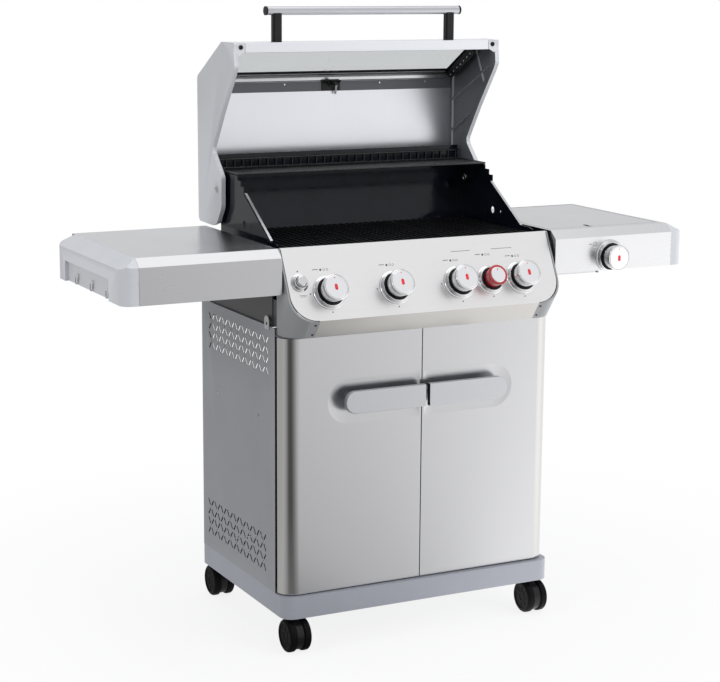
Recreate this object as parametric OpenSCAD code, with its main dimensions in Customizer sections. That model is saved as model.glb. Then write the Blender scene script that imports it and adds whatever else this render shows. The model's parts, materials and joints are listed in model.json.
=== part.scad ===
// Gas barbecue grill: four burners and a sear burner under a hinged lid with a window,
// a closed cart with two doors, two side shelves (the right one hides a side burner) and four casters.
// Millimetres. +X is to the right seen from the front, -Y is the front, +Z is up from the floor.
// The lid stands open at rest.

/* [Cart] */
// Half the width of the cart over its side panels
cart_half_w = 339; // [330:1:350]
// Front edge of the side panels
cart_front_y = -172; // [-174:1:-170]
// Back edge of the side panels
cart_back_y = 238; // [230:1:245]
// Underside of the base tray above the floor
tray_z = 80; // [80:1:84]
// Top of the base tray
deck_z = 128; // [126:1:130]
// Front face of the base tray
tray_front_y = -224; // [-228:1:-222]
// Top of the side panels
side_top_z = 720; // [716:1:722]
// Thickness of the folded sheet steel
sheet = 1.2; // [1:0.1:1.5]

/* [Doors] */
// Front face of the doors
door_front_y = -211.5; // [-213:0.5:-211]
// Distance of each door hinge from the middle
hinge_x = 299; // [295:1:299]
// Depth of the folded edge of a door
door_depth = 18; // [14:1:20]
// Bottom of the doors
door_z0 = 131; // [130:1:134]
// Top of the doors
door_z1 = 701; // [690:1:701]
// Height of the middle of the door handles
handle_z = 556; // [500:1:600]
// Radius of the round end of the pressed handle recess
recess_r = 47; // [42:1:50]
// Height of a door handle
door_handle_h = 50; // [40:1:56]
// How far a door handle stands in front of the door
handle_stand = 30; // [26:1:34]

/* [Control panel] */
// Top edge of the control panel, front to back
panel_y = -182; // [-184:1:-181]
// Top edge of the control panel above the floor
panel_z = 894; // [890:1:895]
// Lean of the control panel from vertical
panel_tilt = 27; // [24:1:30]
// Length of the control panel down its slope
panel_len = 167; // [160:1:170]
// Height of the bottom lip of the control panel
lip_z = 704; // [703:1:706]
// Distance between neighbouring burner knobs
knob_pitch = 159; // [156:1:160]
// Distance of the knobs down the slope
knob_s = 106; // [100:1:110]
// Travel of a knob when it is pressed
knob_push = 3; // [2:0.5:3.5]

/* [Shelves] */
// Width over both side shelves
overall_w = 1390; // [1380:1:1400]
// Top of the shelves above the floor
shelf_z = 895; // [893:1:896]
// Height of the shelf fascia with its top bevel
shelf_h = 96; // [90:1:100]
// Front face of the shelves
shelf_front_y = -213; // [-216:1:-210]
// Back face of the shelves
shelf_back_y = 210; // [200:1:220]
// Width of the grey end caps
end_cap_w = 36; // [30:1:40]

/* [Lid] */
// Front to back place of the lid hinge
lid_hinge_y = 152; // [151:1:153]
// Height of the lid hinge
lid_hinge_z = 983; // [982:1:984]
// Half the width of the lid over its cheeks
lid_half_w = 336; // [335:1:336]
// Thickness of a cheek casting
cheek_t = 10; // [8:1:10]
// Top of the open lid
lid_top_z = 1314.5; // [1313:0.5:1314.5]
// Front edge of the open lid
lid_front_y = 48; // [47:1:49]
// Height of the lid handle's axis when the lid is open
lid_handle_z = 1382.5; // [1375:0.5:1385]

/* [Firebox] */
// Half the width of the firebox over its side plates
box_half_w = 320; // [318:1:321]
// Top of the cooking grates
grate_z = 888; // [884:1:890]
// Height of the burner tubes
burner_z = 806; // [804:1:808]
// Height of the warming rack
rack_z = 1024; // [1023:1:1028]

/* [Casters] */
// Diameter of the caster wheels
wheel_d = 74; // [70:1:75]
// Distance of each caster stem from the middle
caster_x = 304; // [300:1:306]
// Front casters' stem, front to back
caster_front_y = -178; // [-182:1:-174]
// Rear casters' stem, front to back
caster_back_y = 206; // [200:1:210]
// Trail of the wheel axle behind the stem
caster_trail = 22; // [20:1:24]

/* [Hidden] */
$fn = 48;

gap = 0.3;                  // clearance between pieces that only touch
fit = 0.05;                 // radial clearance of a turning or sliding fit
side_in = cart_half_w - sheet;          // inner face of a side panel
door_r = side_in - hinge_x - 1.8;       // radius of a door's wrapped outer edge
hinge_y = door_front_y + door_r;        // door hinge axis
back_z = side_top_z - 290;              // top of the lower back panel
knob_x = [-1.5 * knob_pitch, -0.5 * knob_pitch, 0.5 * knob_pitch, 1.5 * knob_pitch];
sear_x = knob_pitch;                    // sear knob, between knobs 3 and 4
igniter_x = -302;
igniter_s = 80;
side_knob_x = 487;
side_knob_z = 831;
shelf_in = 340;                         // inner end of a shelf
shelf_out = overall_w / 2;
cap_in = shelf_out - end_cap_w;         // seam between shelf and end cap
cap_recess_x = shelf_out - 9;            // floor of the recess in the end caps
bevel_y = 22;                           // front bevel of the shelf, front to back
bevel_z = 18;                           // front bevel of the shelf, height
cheek_in = lid_half_w - cheek_t;        // inner face of a cheek
stem_r = 4;
knob_face = 40;                         // knob face above the panel
skirt_n = 12;                           // underside of a knob above the panel
bezel_bore = stem_r + 0.98;             // bore that guides the collar of a stem
wheel_z = wheel_d / 2;

steel = "#c9c9cc"; dark_steel = "#77787c"; grey = "#8b8d91"; tray_blue = "#9a9ea8";
light_grey = "#b5b9bd"; black = "#1c1c1e"; chrome = "#e2e3e6"; red = "#b3151f";

// ---------- helpers ----------
function unit(v) = v / norm(v);
function arc(c, r, a0, a1, n) = [
    for (i = [0:n]) let(a = a0 + (a1 - a0) * i / n) c + r * [cos(a), sin(a)]
];

// An outline whose corners [x, y, radius] are rounded with arcs
function turn_to(a, b) = let (d = b - a) d - 360 * floor((d + 180) / 360);
function corner(a, p, b, r) = r == 0 ? [p] : let (
    u = unit(a - p), v = unit(b - p), half = acos(min(1, max(-1, u * v))) / 2,
    c = p + unit(u + v) * r / sin(half),
    s = p + u * r / tan(half) - c, e = p + v * r / tan(half) - c,
    a0 = atan2(s[1], s[0]), sweep = turn_to(a0, atan2(e[1], e[0])),
    n = max(2, ceil(abs(sweep) / 12))
) [for (i = [0:n]) c + r * [cos(a0 + sweep * i / n), sin(a0 + sweep * i / n)]];
function xy(p) = [p[0], p[1]];
function rounded(pts) = let (n = len(pts)) [
    for (i = [0:n - 1]) each corner(xy(pts[(i + n - 1) % n]), xy(pts[i]), xy(pts[(i + 1) % n]), pts[i][2])
];

// A folded sheet that follows a path; the thickness is laid on its left side
function left_of(a, b) = let (d = unit(b - a)) [-d[1], d[0]];
function offset_point(p, i, t) = let (
    n = len(p),
    n0 = i > 0 ? left_of(p[i - 1], p[i]) : left_of(p[0], p[1]),
    n1 = i < n - 1 ? left_of(p[i], p[i + 1]) : left_of(p[n - 2], p[n - 1])
) p[i] + t * (n0 + n1) / (1 + n0 * n1);
function folded(p, t) = concat(p, [for (i = [len(p) - 1:-1:0]) offset_point(p, i, t)]);

module box(lo, hi) translate(lo) cube(hi - lo);
module both_sides() { children(); mirror([1, 0, 0]) children(); }
module rod_x(r, x0, x1, y, z) translate([x0, y, z]) rotate([0, 90, 0]) cylinder(r = r, h = x1 - x0);
module rod_y(r, y0, y1, x, z) translate([x, y1, z]) rotate([90, 0, 0]) cylinder(r = r, h = y1 - y0);
module rod_z(r, z0, z1, x, y) translate([x, y, z0]) cylinder(r = r, h = z1 - z0);
// Extrudes a (y, z) outline along X
module slab_x(x0, x1, pts) translate([x0, 0, 0]) rotate([90, 0, 90]) linear_extrude(x1 - x0) polygon(pts);
// Extrudes an (x, z) outline along +Y
module slab_y(y0, y1) translate([0, y1, 0]) rotate([90, 0, 0]) linear_extrude(y1 - y0) children();
// Local frame on the control panel: x along it, y up the slope, z out of it
module on_panel(x, s, n = 0)
    translate([0, panel_y, panel_z]) rotate([90 - panel_tilt, 0, 0]) translate([x, -s, n]) children();
function slope_point(s, n = 0) = [
    panel_y - s * sin(panel_tilt) - n * cos(panel_tilt), panel_z - s * cos(panel_tilt) + n * sin(panel_tilt)
];

// ---------- cart ----------
module tray_outline(inset) {
    r = 28 - inset;
    x = cart_half_w - inset;
    y0 = tray_front_y + inset;
    polygon(rounded([[-x, y0, r], [x, y0, r], [x, cart_back_y - inset, 2], [-x, cart_back_y - inset, 2]]));
}
module caster_places() {
    for (x = [-caster_x, caster_x]) {
        translate([x, caster_front_y, 0]) children();
        translate([x, caster_back_y, 0]) children();
    }
}
module base_tray() color(tray_blue) difference() {
    union() {
        difference() {
            translate([0, 0, tray_z]) linear_extrude(deck_z - tray_z) tray_outline(0);
            translate([0, 0, tray_z - 1]) linear_extrude(deck_z - tray_z + 1 - 1.5) tray_outline(1.5);
        }
        // caster plates with their sockets, and two cross channels
        for (y = [caster_front_y, caster_back_y])
            box([-cart_half_w + 1, y - 26, tray_z + 5], [cart_half_w - 1, y + 26, tray_z + 8]);
        caster_places() translate([0, 0, tray_z + 4]) cylinder(r = 10, h = deck_z - tray_z - 4.5);
    }
    caster_places() translate([0, 0, tray_z - 1]) cylinder(r = 5.5 + fit, h = 40);
}

// One ventilation cross: four slanted slots around a small hole
module vent_cross() {
    rod_x(1.5, -3, 3, 0, 0);
    for (a = [52, 128, 232, 308]) rotate([a, 0, 0]) translate([-3, 6, -2.2]) cube([6, 18, 4.4]);
}
module vent_pattern(x, y0, z0) {
    for (i = [0:8], j = [0, 1]) translate([x, y0 - i * 37.5, z0 - j * 45]) vent_cross();
}
module side_panel() difference() {
    union() {
        box([side_in, cart_front_y, deck_z], [cart_half_w, cart_back_y, side_top_z]);
        box([side_in - 20, cart_front_y + 4, deck_z], [cart_half_w, cart_back_y, deck_z + sheet]);
        box([side_in - 20, cart_front_y + 22, side_top_z - sheet], [cart_half_w, cart_back_y, side_top_z]);
        box([side_in - 25, cart_back_y - sheet, deck_z], [cart_half_w, cart_back_y, side_top_z]);
        // front stiffener, outside the swing of the door's wrapped edge
        box([side_in - 22, hinge_y + door_r + 1, deck_z], [cart_half_w, hinge_y + door_r + 1 + sheet, 700]);
    }
    vent_pattern(cart_half_w, 179, 676);
    vent_pattern(cart_half_w, 192, 229);
    rod_x(2.5, side_in - 1, cart_half_w + 1, 151, 514);
    rod_x(2.5, side_in - 1, cart_half_w + 1, -85, 511);
}
module left_side_panel() color(grey) mirror([1, 0, 0]) side_panel();
module right_side_panel() color(grey) side_panel();

module back_panel() color(grey) {
    y1 = cart_back_y - sheet - 0.1;
    difference() {
        box([-side_in + 3, y1 - sheet, deck_z + sheet + 0.2], [side_in - 3, y1, back_z]);
        for (i = [-6:6], j = [0:3])
            box([i * 44 - 16, y1 - 5, 330 + j * 16], [i * 44 + 16, y1 + 5, 335 + j * 16]);
    }
    box([-side_in + 3, y1 - 20, back_z - sheet], [side_in - 3, y1 - sheet, back_z]);
    // top back rail, a folded channel
    slab_x(-side_in + 3, side_in - 3, folded([[y1 - 22, 682], [y1, 682], [y1, 716], [y1 - 22, 716]], sheet));
}

module front_rail() color(grey) {
    y0 = hinge_y - 12;
    y1 = cart_front_y + 21;
    slab_x(-side_in + 0.6, side_in - 0.6, folded([[y0, 703], [y1, 703], [y1, 718]], sheet));
    // two magnetic catches behind the doors' inner edges
    both_sides() difference() {
        box([14, door_front_y + door_depth + 1.5, 690], [44, cart_front_y + 6, 703]);
        box([20, door_front_y + door_depth, 693], [38, door_front_y + door_depth + 4, 699]);
    }
}

// ---------- doors ----------
module stadium(r, x0, x1, z) {
    polygon(concat(
        [[x0, z - r]], arc([x1 - r, z], r, -90, 90, 16), [[x0, z + r]]
    ));
}
// The right door; the left one is its mirror image
module door_shape() {
    x0 = 1;
    floor_y = door_front_y + 6;
    back_y = door_front_y + door_depth;
    h = door_z1 - door_z0;
    difference() {
        union() {
            // skin with its wrapped outer edge
            difference() {
                union() {
                    box([x0, door_front_y, door_z0], [hinge_x, door_front_y + sheet, door_z1]);
                    translate([hinge_x, hinge_y, door_z0]) difference() {
                        cylinder(r = door_r, h = h, $fn = 96);
                        translate([0, 0, -1]) cylinder(r = door_r - sheet, h = h + 2, $fn = 96);
                        translate([-100, -100, -1]) cube([100, 200, h + 2]);
                        translate([-100, 0, -1]) cube([200, 100, h + 2]);
                    }
                }
                slab_y(door_front_y - 1, door_front_y + sheet + 1) stadium(recess_r, 8, 229, handle_z - 2);
            }
            // pressed recess
            difference() {
                slab_y(door_front_y, floor_y + sheet) stadium(recess_r, 8, 229, handle_z - 2);
                slab_y(door_front_y - 1, floor_y)
                    stadium(recess_r - sheet, 8 + sheet, 229 - sheet, handle_z - 2);
            }
            // folded inner, top and bottom edges
            box([x0, door_front_y, door_z0], [x0 + sheet, back_y, door_z1]);
            box([x0, back_y - sheet, door_z0], [x0 + 12, back_y, door_z1]);
            for (z = [door_z0, door_z1 - sheet]) {
                box([x0, door_front_y, z], [hinge_x + 0.1, back_y, z + sheet]);
                translate([hinge_x, hinge_y, z]) difference() {
                    cylinder(r = door_r, h = sheet, $fn = 96);
                    translate([-100, -100, -1]) cube([100, 200, 4]);
                    translate([-100, 0, -1]) cube([200, 100, 4]);
                }
            }
            // hinge blocks and the strap that carries them
            for (z = [door_z0, door_z1 - 14]) translate([hinge_x, hinge_y, z]) {
                cylinder(r = 8, h = 14);
                translate([-8, -door_r + 0.5, 0]) cube([16, door_r - 0.5, 14]);
            }
        }
        rod_z(3 + fit, door_z0 - 1, door_z0 + 20, hinge_x, hinge_y);
        rod_z(3 + fit, door_z1 - 20, door_z1 + 1, hinge_x, hinge_y);
    }
}
module door_left() color(steel) mirror([1, 0, 0]) door_shape();
module door_right() color(steel) door_shape();

module door_handle_shape() {
    y0 = door_front_y - handle_stand;
    r = door_handle_h / 2;
    slab_y(y0, y0 + 12) stadium(r, 4.5, 202, handle_z);
    for (x = [24, 172]) rod_y(8, y0 + 11, door_front_y + 6, x, handle_z);
}
module door_handle_left() color(light_grey) mirror([1, 0, 0]) door_handle_shape();
module door_handle_right() color(light_grey) door_handle_shape();

module door_hinge_pins() color(dark_steel) both_sides() {
    rod_z(3, deck_z, door_z0 + 12, hinge_x, hinge_y);
    rod_z(6, deck_z, door_z0 - 0.8, hinge_x, hinge_y);
    rod_z(3, door_z1 - 12, 703, hinge_x, hinge_y);
    rod_z(6, door_z1 + 0.6, 703, hinge_x, hinge_y);
}

// ---------- firebox ----------
wall = 2;
box_front_y = -148;
box_floor_z = 770;
box_back = [[165, box_floor_z], [165, 905], [205, 985], [205, 1057]];
module firebox() color(black) difference() {
    side = rounded([
        [box_front_y, box_floor_z, 0], [box_front_y, 893, 0], [-131, 897, 0], [-104, 897, 4], [35, 985, 0],
        [35, 1000, 0], [52, 1000, 0], [52, 1012, 0], [70, 1012, 0], [70, 1022, 3], [205, 1022, 3],
        [205, 985, 0], [165, 905, 0], [165, box_floor_z, 0]
    ]);
    inner = box_half_w - wall;
    union() {
        both_sides() difference() {
            slab_x(inner, box_half_w, side);
            rod_x(8, inner - 1, box_half_w + 1, 31, 918);
            rod_x(3, inner - 1, box_half_w + 1, -5, 918);
        }
        box([-inner - 1, box_front_y, box_floor_z], [inner + 1, box_front_y + wall, 874]);
        slab_x(-inner - 1, inner + 1, folded(box_back, wall));
        // floor with the opening over the grease tray
        difference() {
            box([-inner - 1, box_front_y, box_floor_z], [inner + 1, 165, box_floor_z + wall]);
            box([-270, -120, box_floor_z - 1], [270, 150, box_floor_z + wall + 1]);
        }
        // ledges for the grates, carriers for the heat tamers, hanging flanges
        box([-inner - 1, box_front_y, 870], [inner + 1, box_front_y + 14, 872]);
        box([-inner - 1, 151, 870], [inner + 1, 165, 872]);
        box([-inner - 1, box_front_y, 838], [inner + 1, box_front_y + 12, 840]);
        box([-inner - 1, 153, 838], [inner + 1, 165, 840]);
        both_sides() box([inner, -140, 789.2], [box_half_w + 12, 160, 791.2]);
        // hinge bosses of the lid
        both_sides() rod_x(12, inner - 6, box_half_w + 4.5, lid_hinge_y, lid_hinge_z);
        // bright rolled edge of the side plates
        both_sides() slab_x(inner - 6, inner, folded([[-104, 897], [35, 985]], 2));
    }
    for (x = concat(knob_x, [sear_x])) rod_y(14.5, box_front_y - 1, box_front_y + wall + 1, x, burner_z);
    both_sides() rod_x(5.2, inner - 8, box_half_w + 6, lid_hinge_y, lid_hinge_z);
}

module heat_tamers() color(dark_steel) for (x = knob_x) translate([x, 0, 0]) difference() {
    slab_y(box_front_y + wall + 1, 162)
        polygon(folded([[-42, 841], [-38, 841], [0, 864], [38, 841], [42, 841]], 1.5));
    for (y = [-110:55:120], s = [-1, 1])
        translate([s * 20, y, 850]) rotate([0, s * 31, 0]) cube([5, 26, 12], center = true);
}

module burner_tube(x) difference() {
    union() {
        rod_y(12, -120, 140, x, burner_z);
        rod_y(13.5, -140, -119, x, burner_z);
        rod_y(11, -158, -139, x, burner_z);
        box([x - 10, 139, burner_z - 3], [x + 10, 162.6, burner_z]);
    }
    rod_y(9.5, -159, 136, x, burner_z);
    for (y = [-105:14:125]) rod_x(1.6, x - 14, x + 14, y, burner_z + 3);
}
module burners() {
    color(steel) for (x = knob_x) burner_tube(x);
    // sear burner: a feed tube under a ported plate box
    color(dark_steel) {
        difference() {
            rod_y(11, -158, -60, sear_x, burner_z);
            rod_y(9.5, -159, -70, sear_x, burner_z);
        }
        difference() {
            box([sear_x - 28, -60, burner_z - 12], [sear_x + 28, 100, burner_z + 28]);
            box([sear_x - 26, -58, burner_z - 10], [sear_x + 26, 98, burner_z + 24]);
            for (i = [-2:2], j = [0:12]) rod_z(2, burner_z + 20, burner_z + 30, sear_x + i * 9, -52 + j * 12);
        }
    }
}

module cooking_grates() color(black) for (k = [-1, 0, 1]) translate([k * 210, 0, 0]) {
    box([-103, -143, grate_z - 16], [103, -136, grate_z - 3]);
    box([-103, 155, grate_z - 16], [103, 162, grate_z - 3]);
    box([-103, 6, grate_z - 14], [103, 12, grate_z - 3]);
    for (i = [-6:6]) box([i * 16.4 - 3, -143, grate_z - 8], [i * 16.4 + 3, 162, grate_z]);
}

rack_front = 72;
rack_back = 200;
module warming_rack() color(black) {
    x1 = box_half_w - 0.5;
    wire = 2.5;
    rod_x(wire, -x1, x1, rack_front, rack_z + 1);
    rod_x(wire, -x1, x1, rack_back, rack_z + 1);
    both_sides() rod_y(wire, rack_front, rack_back, x1 - wire, rack_z + 1);
    for (i = [-30:30]) rod_y(1.6, rack_front, rack_back, i * 10.1, rack_z + 1);
    // upright fence along the back
    rod_x(2, -x1, x1, rack_back, rack_z + 21);
    for (i = [-15:15]) rod_z(1.6, rack_z + 1, rack_z + 21, i * 20.8, rack_back);
}

module grease_tray() color(steel) difference() {
    union() {
        difference() {
            box([-280, -134, 742], [280, 232, 764]);
            box([-278.5, -132.5, 743.5], [278.5, 230.5, 765]);
        }
        both_sides() box([279, -134, 762.5], [296, 232, 764]);
        // pull lip and drain spout
        box([-60, 231, 742], [60, 246, 743.5]);
        box([-60, 244.5, 742], [60, 246, 756]);
        rod_z(14, 737, 743, 0, 60);
    }
    rod_z(12, 730, 750, 0, 60);
}
module grease_cup() color(dark_steel) {
    difference() {
        box([-60, 12, 718], [60, 108, 736.7]);
        box([-58.5, 13.5, 719.5], [58.5, 106.5, 740]);
    }
    // wire bails that hang the cup from the tray
    for (y = [30, 90], s = [-1, 1]) box([s * 61 - 1, y - 4, 724], [s * 61 + 1, y + 4, 741.8]);
}

// ---------- gas train ----------
valve_n = -62;          // valve body's inner end along the stem axis
manifold_y = -190;
manifold_z = 758;
inlet_x = 272;
inlet_z = 727;
module gas_valve(x) {
    p = slope_point(knob_s, -34);
    difference() {
        union() {
            on_panel(x, knob_s, valve_n) cylinder(r = 11, h = -valve_n - 8);
            on_panel(x, knob_s, -10) cylinder(r = 7, h = 7.9);
            // inlet from the manifold, elbow and jet into the burner
            rod_z(6, manifold_z, p[1], x, p[0] + 4);
            rod_z(5.5, p[1], burner_z + 5, x, p[0] + 4);
            rod_y(5, p[0] + 4, -160, x, burner_z);
        }
        on_panel(x, knob_s, -50) cylinder(r = stem_r + fit, h = 60);
    }
}
module gas_manifold() color(steel) {
    y = manifold_y;
    z = manifold_z;
    difference() {
        union() {
            rod_x(9, -270, 304, y, z);
            for (x = concat(knob_x, [sear_x])) gas_valve(x);
            // inlet stub for the regulator hose
            rod_z(7.5, inlet_z, z, inlet_x, y);
            // feed pipe of the side burner
            rod_y(4, y, -158, 300, z);
            rod_z(4, z, 794, 300, -162);
            rod_x(4, 296, side_knob_x + 4, -162, 790);
            rod_z(4, 786, side_knob_z - 8, side_knob_x, -166);
        }
        rod_x(7, -268, 302, y, z);
        rod_z(5, inlet_z - 1, z, inlet_x, y);
        for (x = concat(knob_x, [sear_x])) on_panel(x, knob_s, -50) cylinder(r = stem_r + fit, h = 60);
    }
    // side burner valve behind the right fascia
    translate([side_knob_x, shelf_front_y, side_knob_z]) rotate([90, 0, 0]) difference() {
        union() {
            translate([0, 0, -50]) cylinder(r = 11, h = 42);
            translate([0, 0, -10]) cylinder(r = 7, h = 8.7);
        }
        translate([0, 0, -46]) cylinder(r = stem_r + fit, h = 60);
    }
}

// ---------- brackets between cart, firebox and shelves ----------
module support_brackets() color(dark_steel) both_sides() {
    // rail that carries the firebox
    slab_y(-150, 200) polygon(folded([[319, 721.8], [333, 721.8], [333, 787.3], [322.5, 787.3]], -1.5));
    // runner of the grease tray
    box([289, -134, 760], [333.5, 200, 762]);
    // shelf arms under each shelf
    for (y = [-60, 120]) {
        box([333, y, 780], [430, y + 24, 782]);
        box([333, y, 780], [335, y + 24, 798.3]);
        box([333, y, 796.3], [430, y + 24, 798.3]);
        box([428, y, 780], [430, y + 24, 798.3]);
    }
    // front ends of the rails, below the side burner's feed pipe
    box([331.5, -171, 721.8], [333, -149, 780]);
    // locking lugs on the outside of the side panels
    difference() {
        slab_x(cart_half_w + 0.1, cart_half_w + 2.1,
            rounded([[-146, 712, 3], [-122, 712, 3], [-122, 742, 11], [-146, 742, 11]]));
        rod_x(3.5, cart_half_w - 1, cart_half_w + 4, -134, 725);
    }
    box([332, -143, 732], [cart_half_w + 2.1, -125, 735]);
}

// ---------- control panel ----------
face_half = 330.7;
flange_half = 321.7;                    // folded top edge of the face
corner_r = 58;
cap_half = 335;                         // outer side of the end caps
cap_round = 48;                         // rounding of their outer front corner
cap_wall = 4;
lip_y = -228;
bend = slope_point(panel_len);
module panel_outline(s1) {
    polygon(concat(
        [[-face_half, 0]], arc([-face_half + corner_r, -s1 + corner_r], corner_r, 180, 270, 12),
        arc([face_half - corner_r, -s1 + corner_r], corner_r, 270, 360, 12), [[face_half, 0]]
    ));
}
module control_panel() color(steel) difference() {
    union() {
        on_panel(0, 0, -2) linear_extrude(2) panel_outline(panel_len);
        box([-flange_half, panel_y + 0.3, panel_z - 22], [flange_half, panel_y + 1.6, panel_z - 0.4]);
        slab_x(-face_half + corner_r + 0.4, face_half - corner_r - 0.4, [
            bend, [lip_y, lip_z], [lip_y + 2, lip_z], slope_point(panel_len - 1.6, -1.4)
        ]);
    }
    for (x = concat(knob_x, [sear_x])) on_panel(x, knob_s, -4) cylinder(r = 7.5, h = 8);
    on_panel(igniter_x, igniter_s, -4) cylinder(r = 12.6, h = 8);
}

// A rounded corner swept along the lean of the strip between the bend and the lip
module cap_sweep(inset)
    translate([0, lip_y, lip_z]) rotate([atan2(lip_y - bend[0], bend[1] - lip_z), 0, 0])
    linear_extrude(500, center = true) {
        translate([cap_half - cap_round, cap_round]) circle(r = cap_round - inset, $fn = 96);
        translate([0, inset]) square([cap_half - cap_round, 300]);
        translate([0, cap_round]) square([cap_half - inset, 300]);
    }
module panel_end_caps() color(light_grey) {
    nose = rounded([
        [panel_y, panel_z, 0], [bend[0], bend[1], 8], [bend[0] + 2, bend[1] - 14, 8], [lip_y, lip_z, 3],
        [-174, lip_z + 2, 0], [-174, panel_z - 26, 0], [panel_y, panel_z - 26, 0]
    ]);
    both_sides() difference() {
        intersection() {
            slab_x(face_half - corner_r + 0.2, cap_half, nose);
            cap_sweep(0);
        }
        cap_sweep(cap_wall);
        // seat of the rounded face plate
        on_panel(0, 0, -2.3) linear_extrude(10) {
            translate([0, -panel_len]) square([face_half - corner_r, panel_len + 20]);
            translate([0, -panel_len + corner_r]) square([face_half + 0.3, panel_len + 20]);
            translate([face_half - corner_r, -panel_len + corner_r]) circle(r = corner_r + 0.3, $fn = 96);
        }
    }
}

module knob_bezel(r) rotate_extrude($fn = 72) polygon([
    [bezel_bore, 0.1], [r, 0.1], [r, 2.6], [r - 3, 3.6], [r - 3.4, 9], [r - 5, 10.6], [r - 9, 10.6],
    [r - 9.6, 8], [bezel_bore, 8]
]);
module on_side_knob() translate([side_knob_x, shelf_front_y, side_knob_z]) rotate([90, 0, 0]) children();
module knob_bezels() color(chrome) {
    for (x = knob_x) on_panel(x, knob_s) knob_bezel(38);
    on_panel(sear_x, knob_s) knob_bezel(33);
    on_side_knob() knob_bezel(38);
    on_panel(igniter_x, igniter_s) rotate_extrude($fn = 64) polygon([
        [12.4, 0.1], [20, 0.1], [20, 2], [17.5, 4], [16, 9], [14.5, 10], [12.4, 10]
    ]);
}

// Stems slide in the valves; each knob turns on its stem
module stem(depth) {
    translate([0, 0, -depth]) cylinder(r = stem_r, h = depth + 31);
    translate([0, 0, 2]) cylinder(r = stem_r + 0.9, h = 4);
}
module valve_stem_1() color(steel) on_panel(knob_x[0], knob_s) stem(45);
module valve_stem_2() color(steel) on_panel(knob_x[1], knob_s) stem(45);
module valve_stem_3() color(steel) on_panel(knob_x[2], knob_s) stem(45);
module valve_stem_4() color(steel) on_panel(knob_x[3], knob_s) stem(45);
module sear_stem() color(steel) on_panel(sear_x, knob_s) stem(45);
module side_stem() color(steel) on_side_knob() stem(41);

// Ring-shaped hollow between a knob's hub and its wall
module hollow(r0, r1, z0, z1) translate([0, 0, z0]) difference() {
    cylinder(r = r1, h = z1 - z0);
    translate([0, 0, -1]) cylinder(r = r0, h = z1 - z0 + 2);
}
module knob() {
    color(chrome) difference() {
        rotate_extrude($fn = 72) polygon([
            [0, skirt_n], [26.5, skirt_n], [27.5, skirt_n + 1], [28.4, knob_face - 8], [29.4, knob_face - 6],
            [29.4, knob_face - 2], [28, knob_face - 0.6], [25.5, knob_face], [0, knob_face]
        ]);
        translate([0, 0, skirt_n - 1]) cylinder(r = stem_r + fit, h = 22);
        hollow(9, 24, skirt_n - 1, knob_face - 4);
        // groove of the pointer mark at twelve o'clock
        translate([0, 21, knob_face - 0.6]) cylinder(r = 1.4, h = 2);
    }
}
module small_knob() {
    difference() {
        union() {
            color(red) rotate_extrude($fn = 72) polygon([
                [0, skirt_n], [21, skirt_n], [21.5, skirt_n + 1.5], [23.4, knob_face - 5],
                [23, knob_face - 3], [20, knob_face - 1], [0, knob_face - 1]
            ]);
            color(chrome) translate([0, 0, knob_face - 1.5]) cylinder(r = 17.5, h = 1.5);
        }
        translate([0, 0, skirt_n - 1]) cylinder(r = stem_r + fit, h = 22);
        hollow(8, 18.5, skirt_n - 1, knob_face - 5);
    }
}
module burner_knob_1() on_panel(knob_x[0], knob_s) knob();
module burner_knob_2() on_panel(knob_x[1], knob_s) knob();
module burner_knob_3() on_panel(knob_x[2], knob_s) knob();
module burner_knob_4() on_panel(knob_x[3], knob_s) knob();
module sear_knob() on_panel(sear_x, knob_s) small_knob();
module side_knob() on_side_knob() knob();

module igniter_button() color(chrome) on_panel(igniter_x, igniter_s) {
    rotate_extrude($fn = 64) polygon([
        [0, -12], [9, -12], [9, 3.4], [11.8, 3.4], [11.8, 15], [10.8, 16.6], [8, 17.4], [0, 17.4]
    ]);
}
module igniter_module() color(black) on_panel(igniter_x, igniter_s) difference() {
    union() {
        translate([0, 0, -46]) cylinder(r = 13, h = 43.6);
        translate([0, 0, -5]) cylinder(r = 15, h = 2.6);
    }
    translate([0, 0, -20]) cylinder(r = 9 + fit, h = 30);
}

// ---------- shelves ----------
shelf_bottom_z = shelf_z - shelf_h - 0.5;
module shelf_shell(x0, x1) difference() {
    slab_x(x0, x1, [
        [shelf_front_y, shelf_bottom_z], [shelf_front_y, shelf_z - bevel_z],
        [shelf_front_y + bevel_y, shelf_z],
        [shelf_back_y - 4, shelf_z], [shelf_back_y, shelf_z - 4], [shelf_back_y, shelf_bottom_z]
    ]);
    slab_x(x0 + 1.2, x1 + 1, [
        [shelf_front_y + 1.2, shelf_bottom_z - 1], [shelf_front_y + 1.2, shelf_z - bevel_z - 0.5],
        [shelf_front_y + bevel_y + 0.5, shelf_z - 1.2], [shelf_back_y - 4.5, shelf_z - 1.2],
        [shelf_back_y - 1.2, shelf_z - 4.5], [shelf_back_y - 1.2, shelf_bottom_z - 1]
    ]);
}
module left_shelf() color(steel) mirror([1, 0, 0]) {
    shelf_shell(shelf_in, cap_in);
    // stiffening channel across the underside
    box([shelf_in + 1.3, -10, shelf_z - 30], [cap_in, -8.5, shelf_z - 1.1]);
    box([shelf_in + 1.3, 30, shelf_z - 30], [cap_in, 31.5, shelf_z - 1.1]);
}
lid_x0 = 352;
lid_x1 = 648;
lid_y0 = -166;
lid_y1 = 198;
side_hinge = [190, 885];
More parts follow.
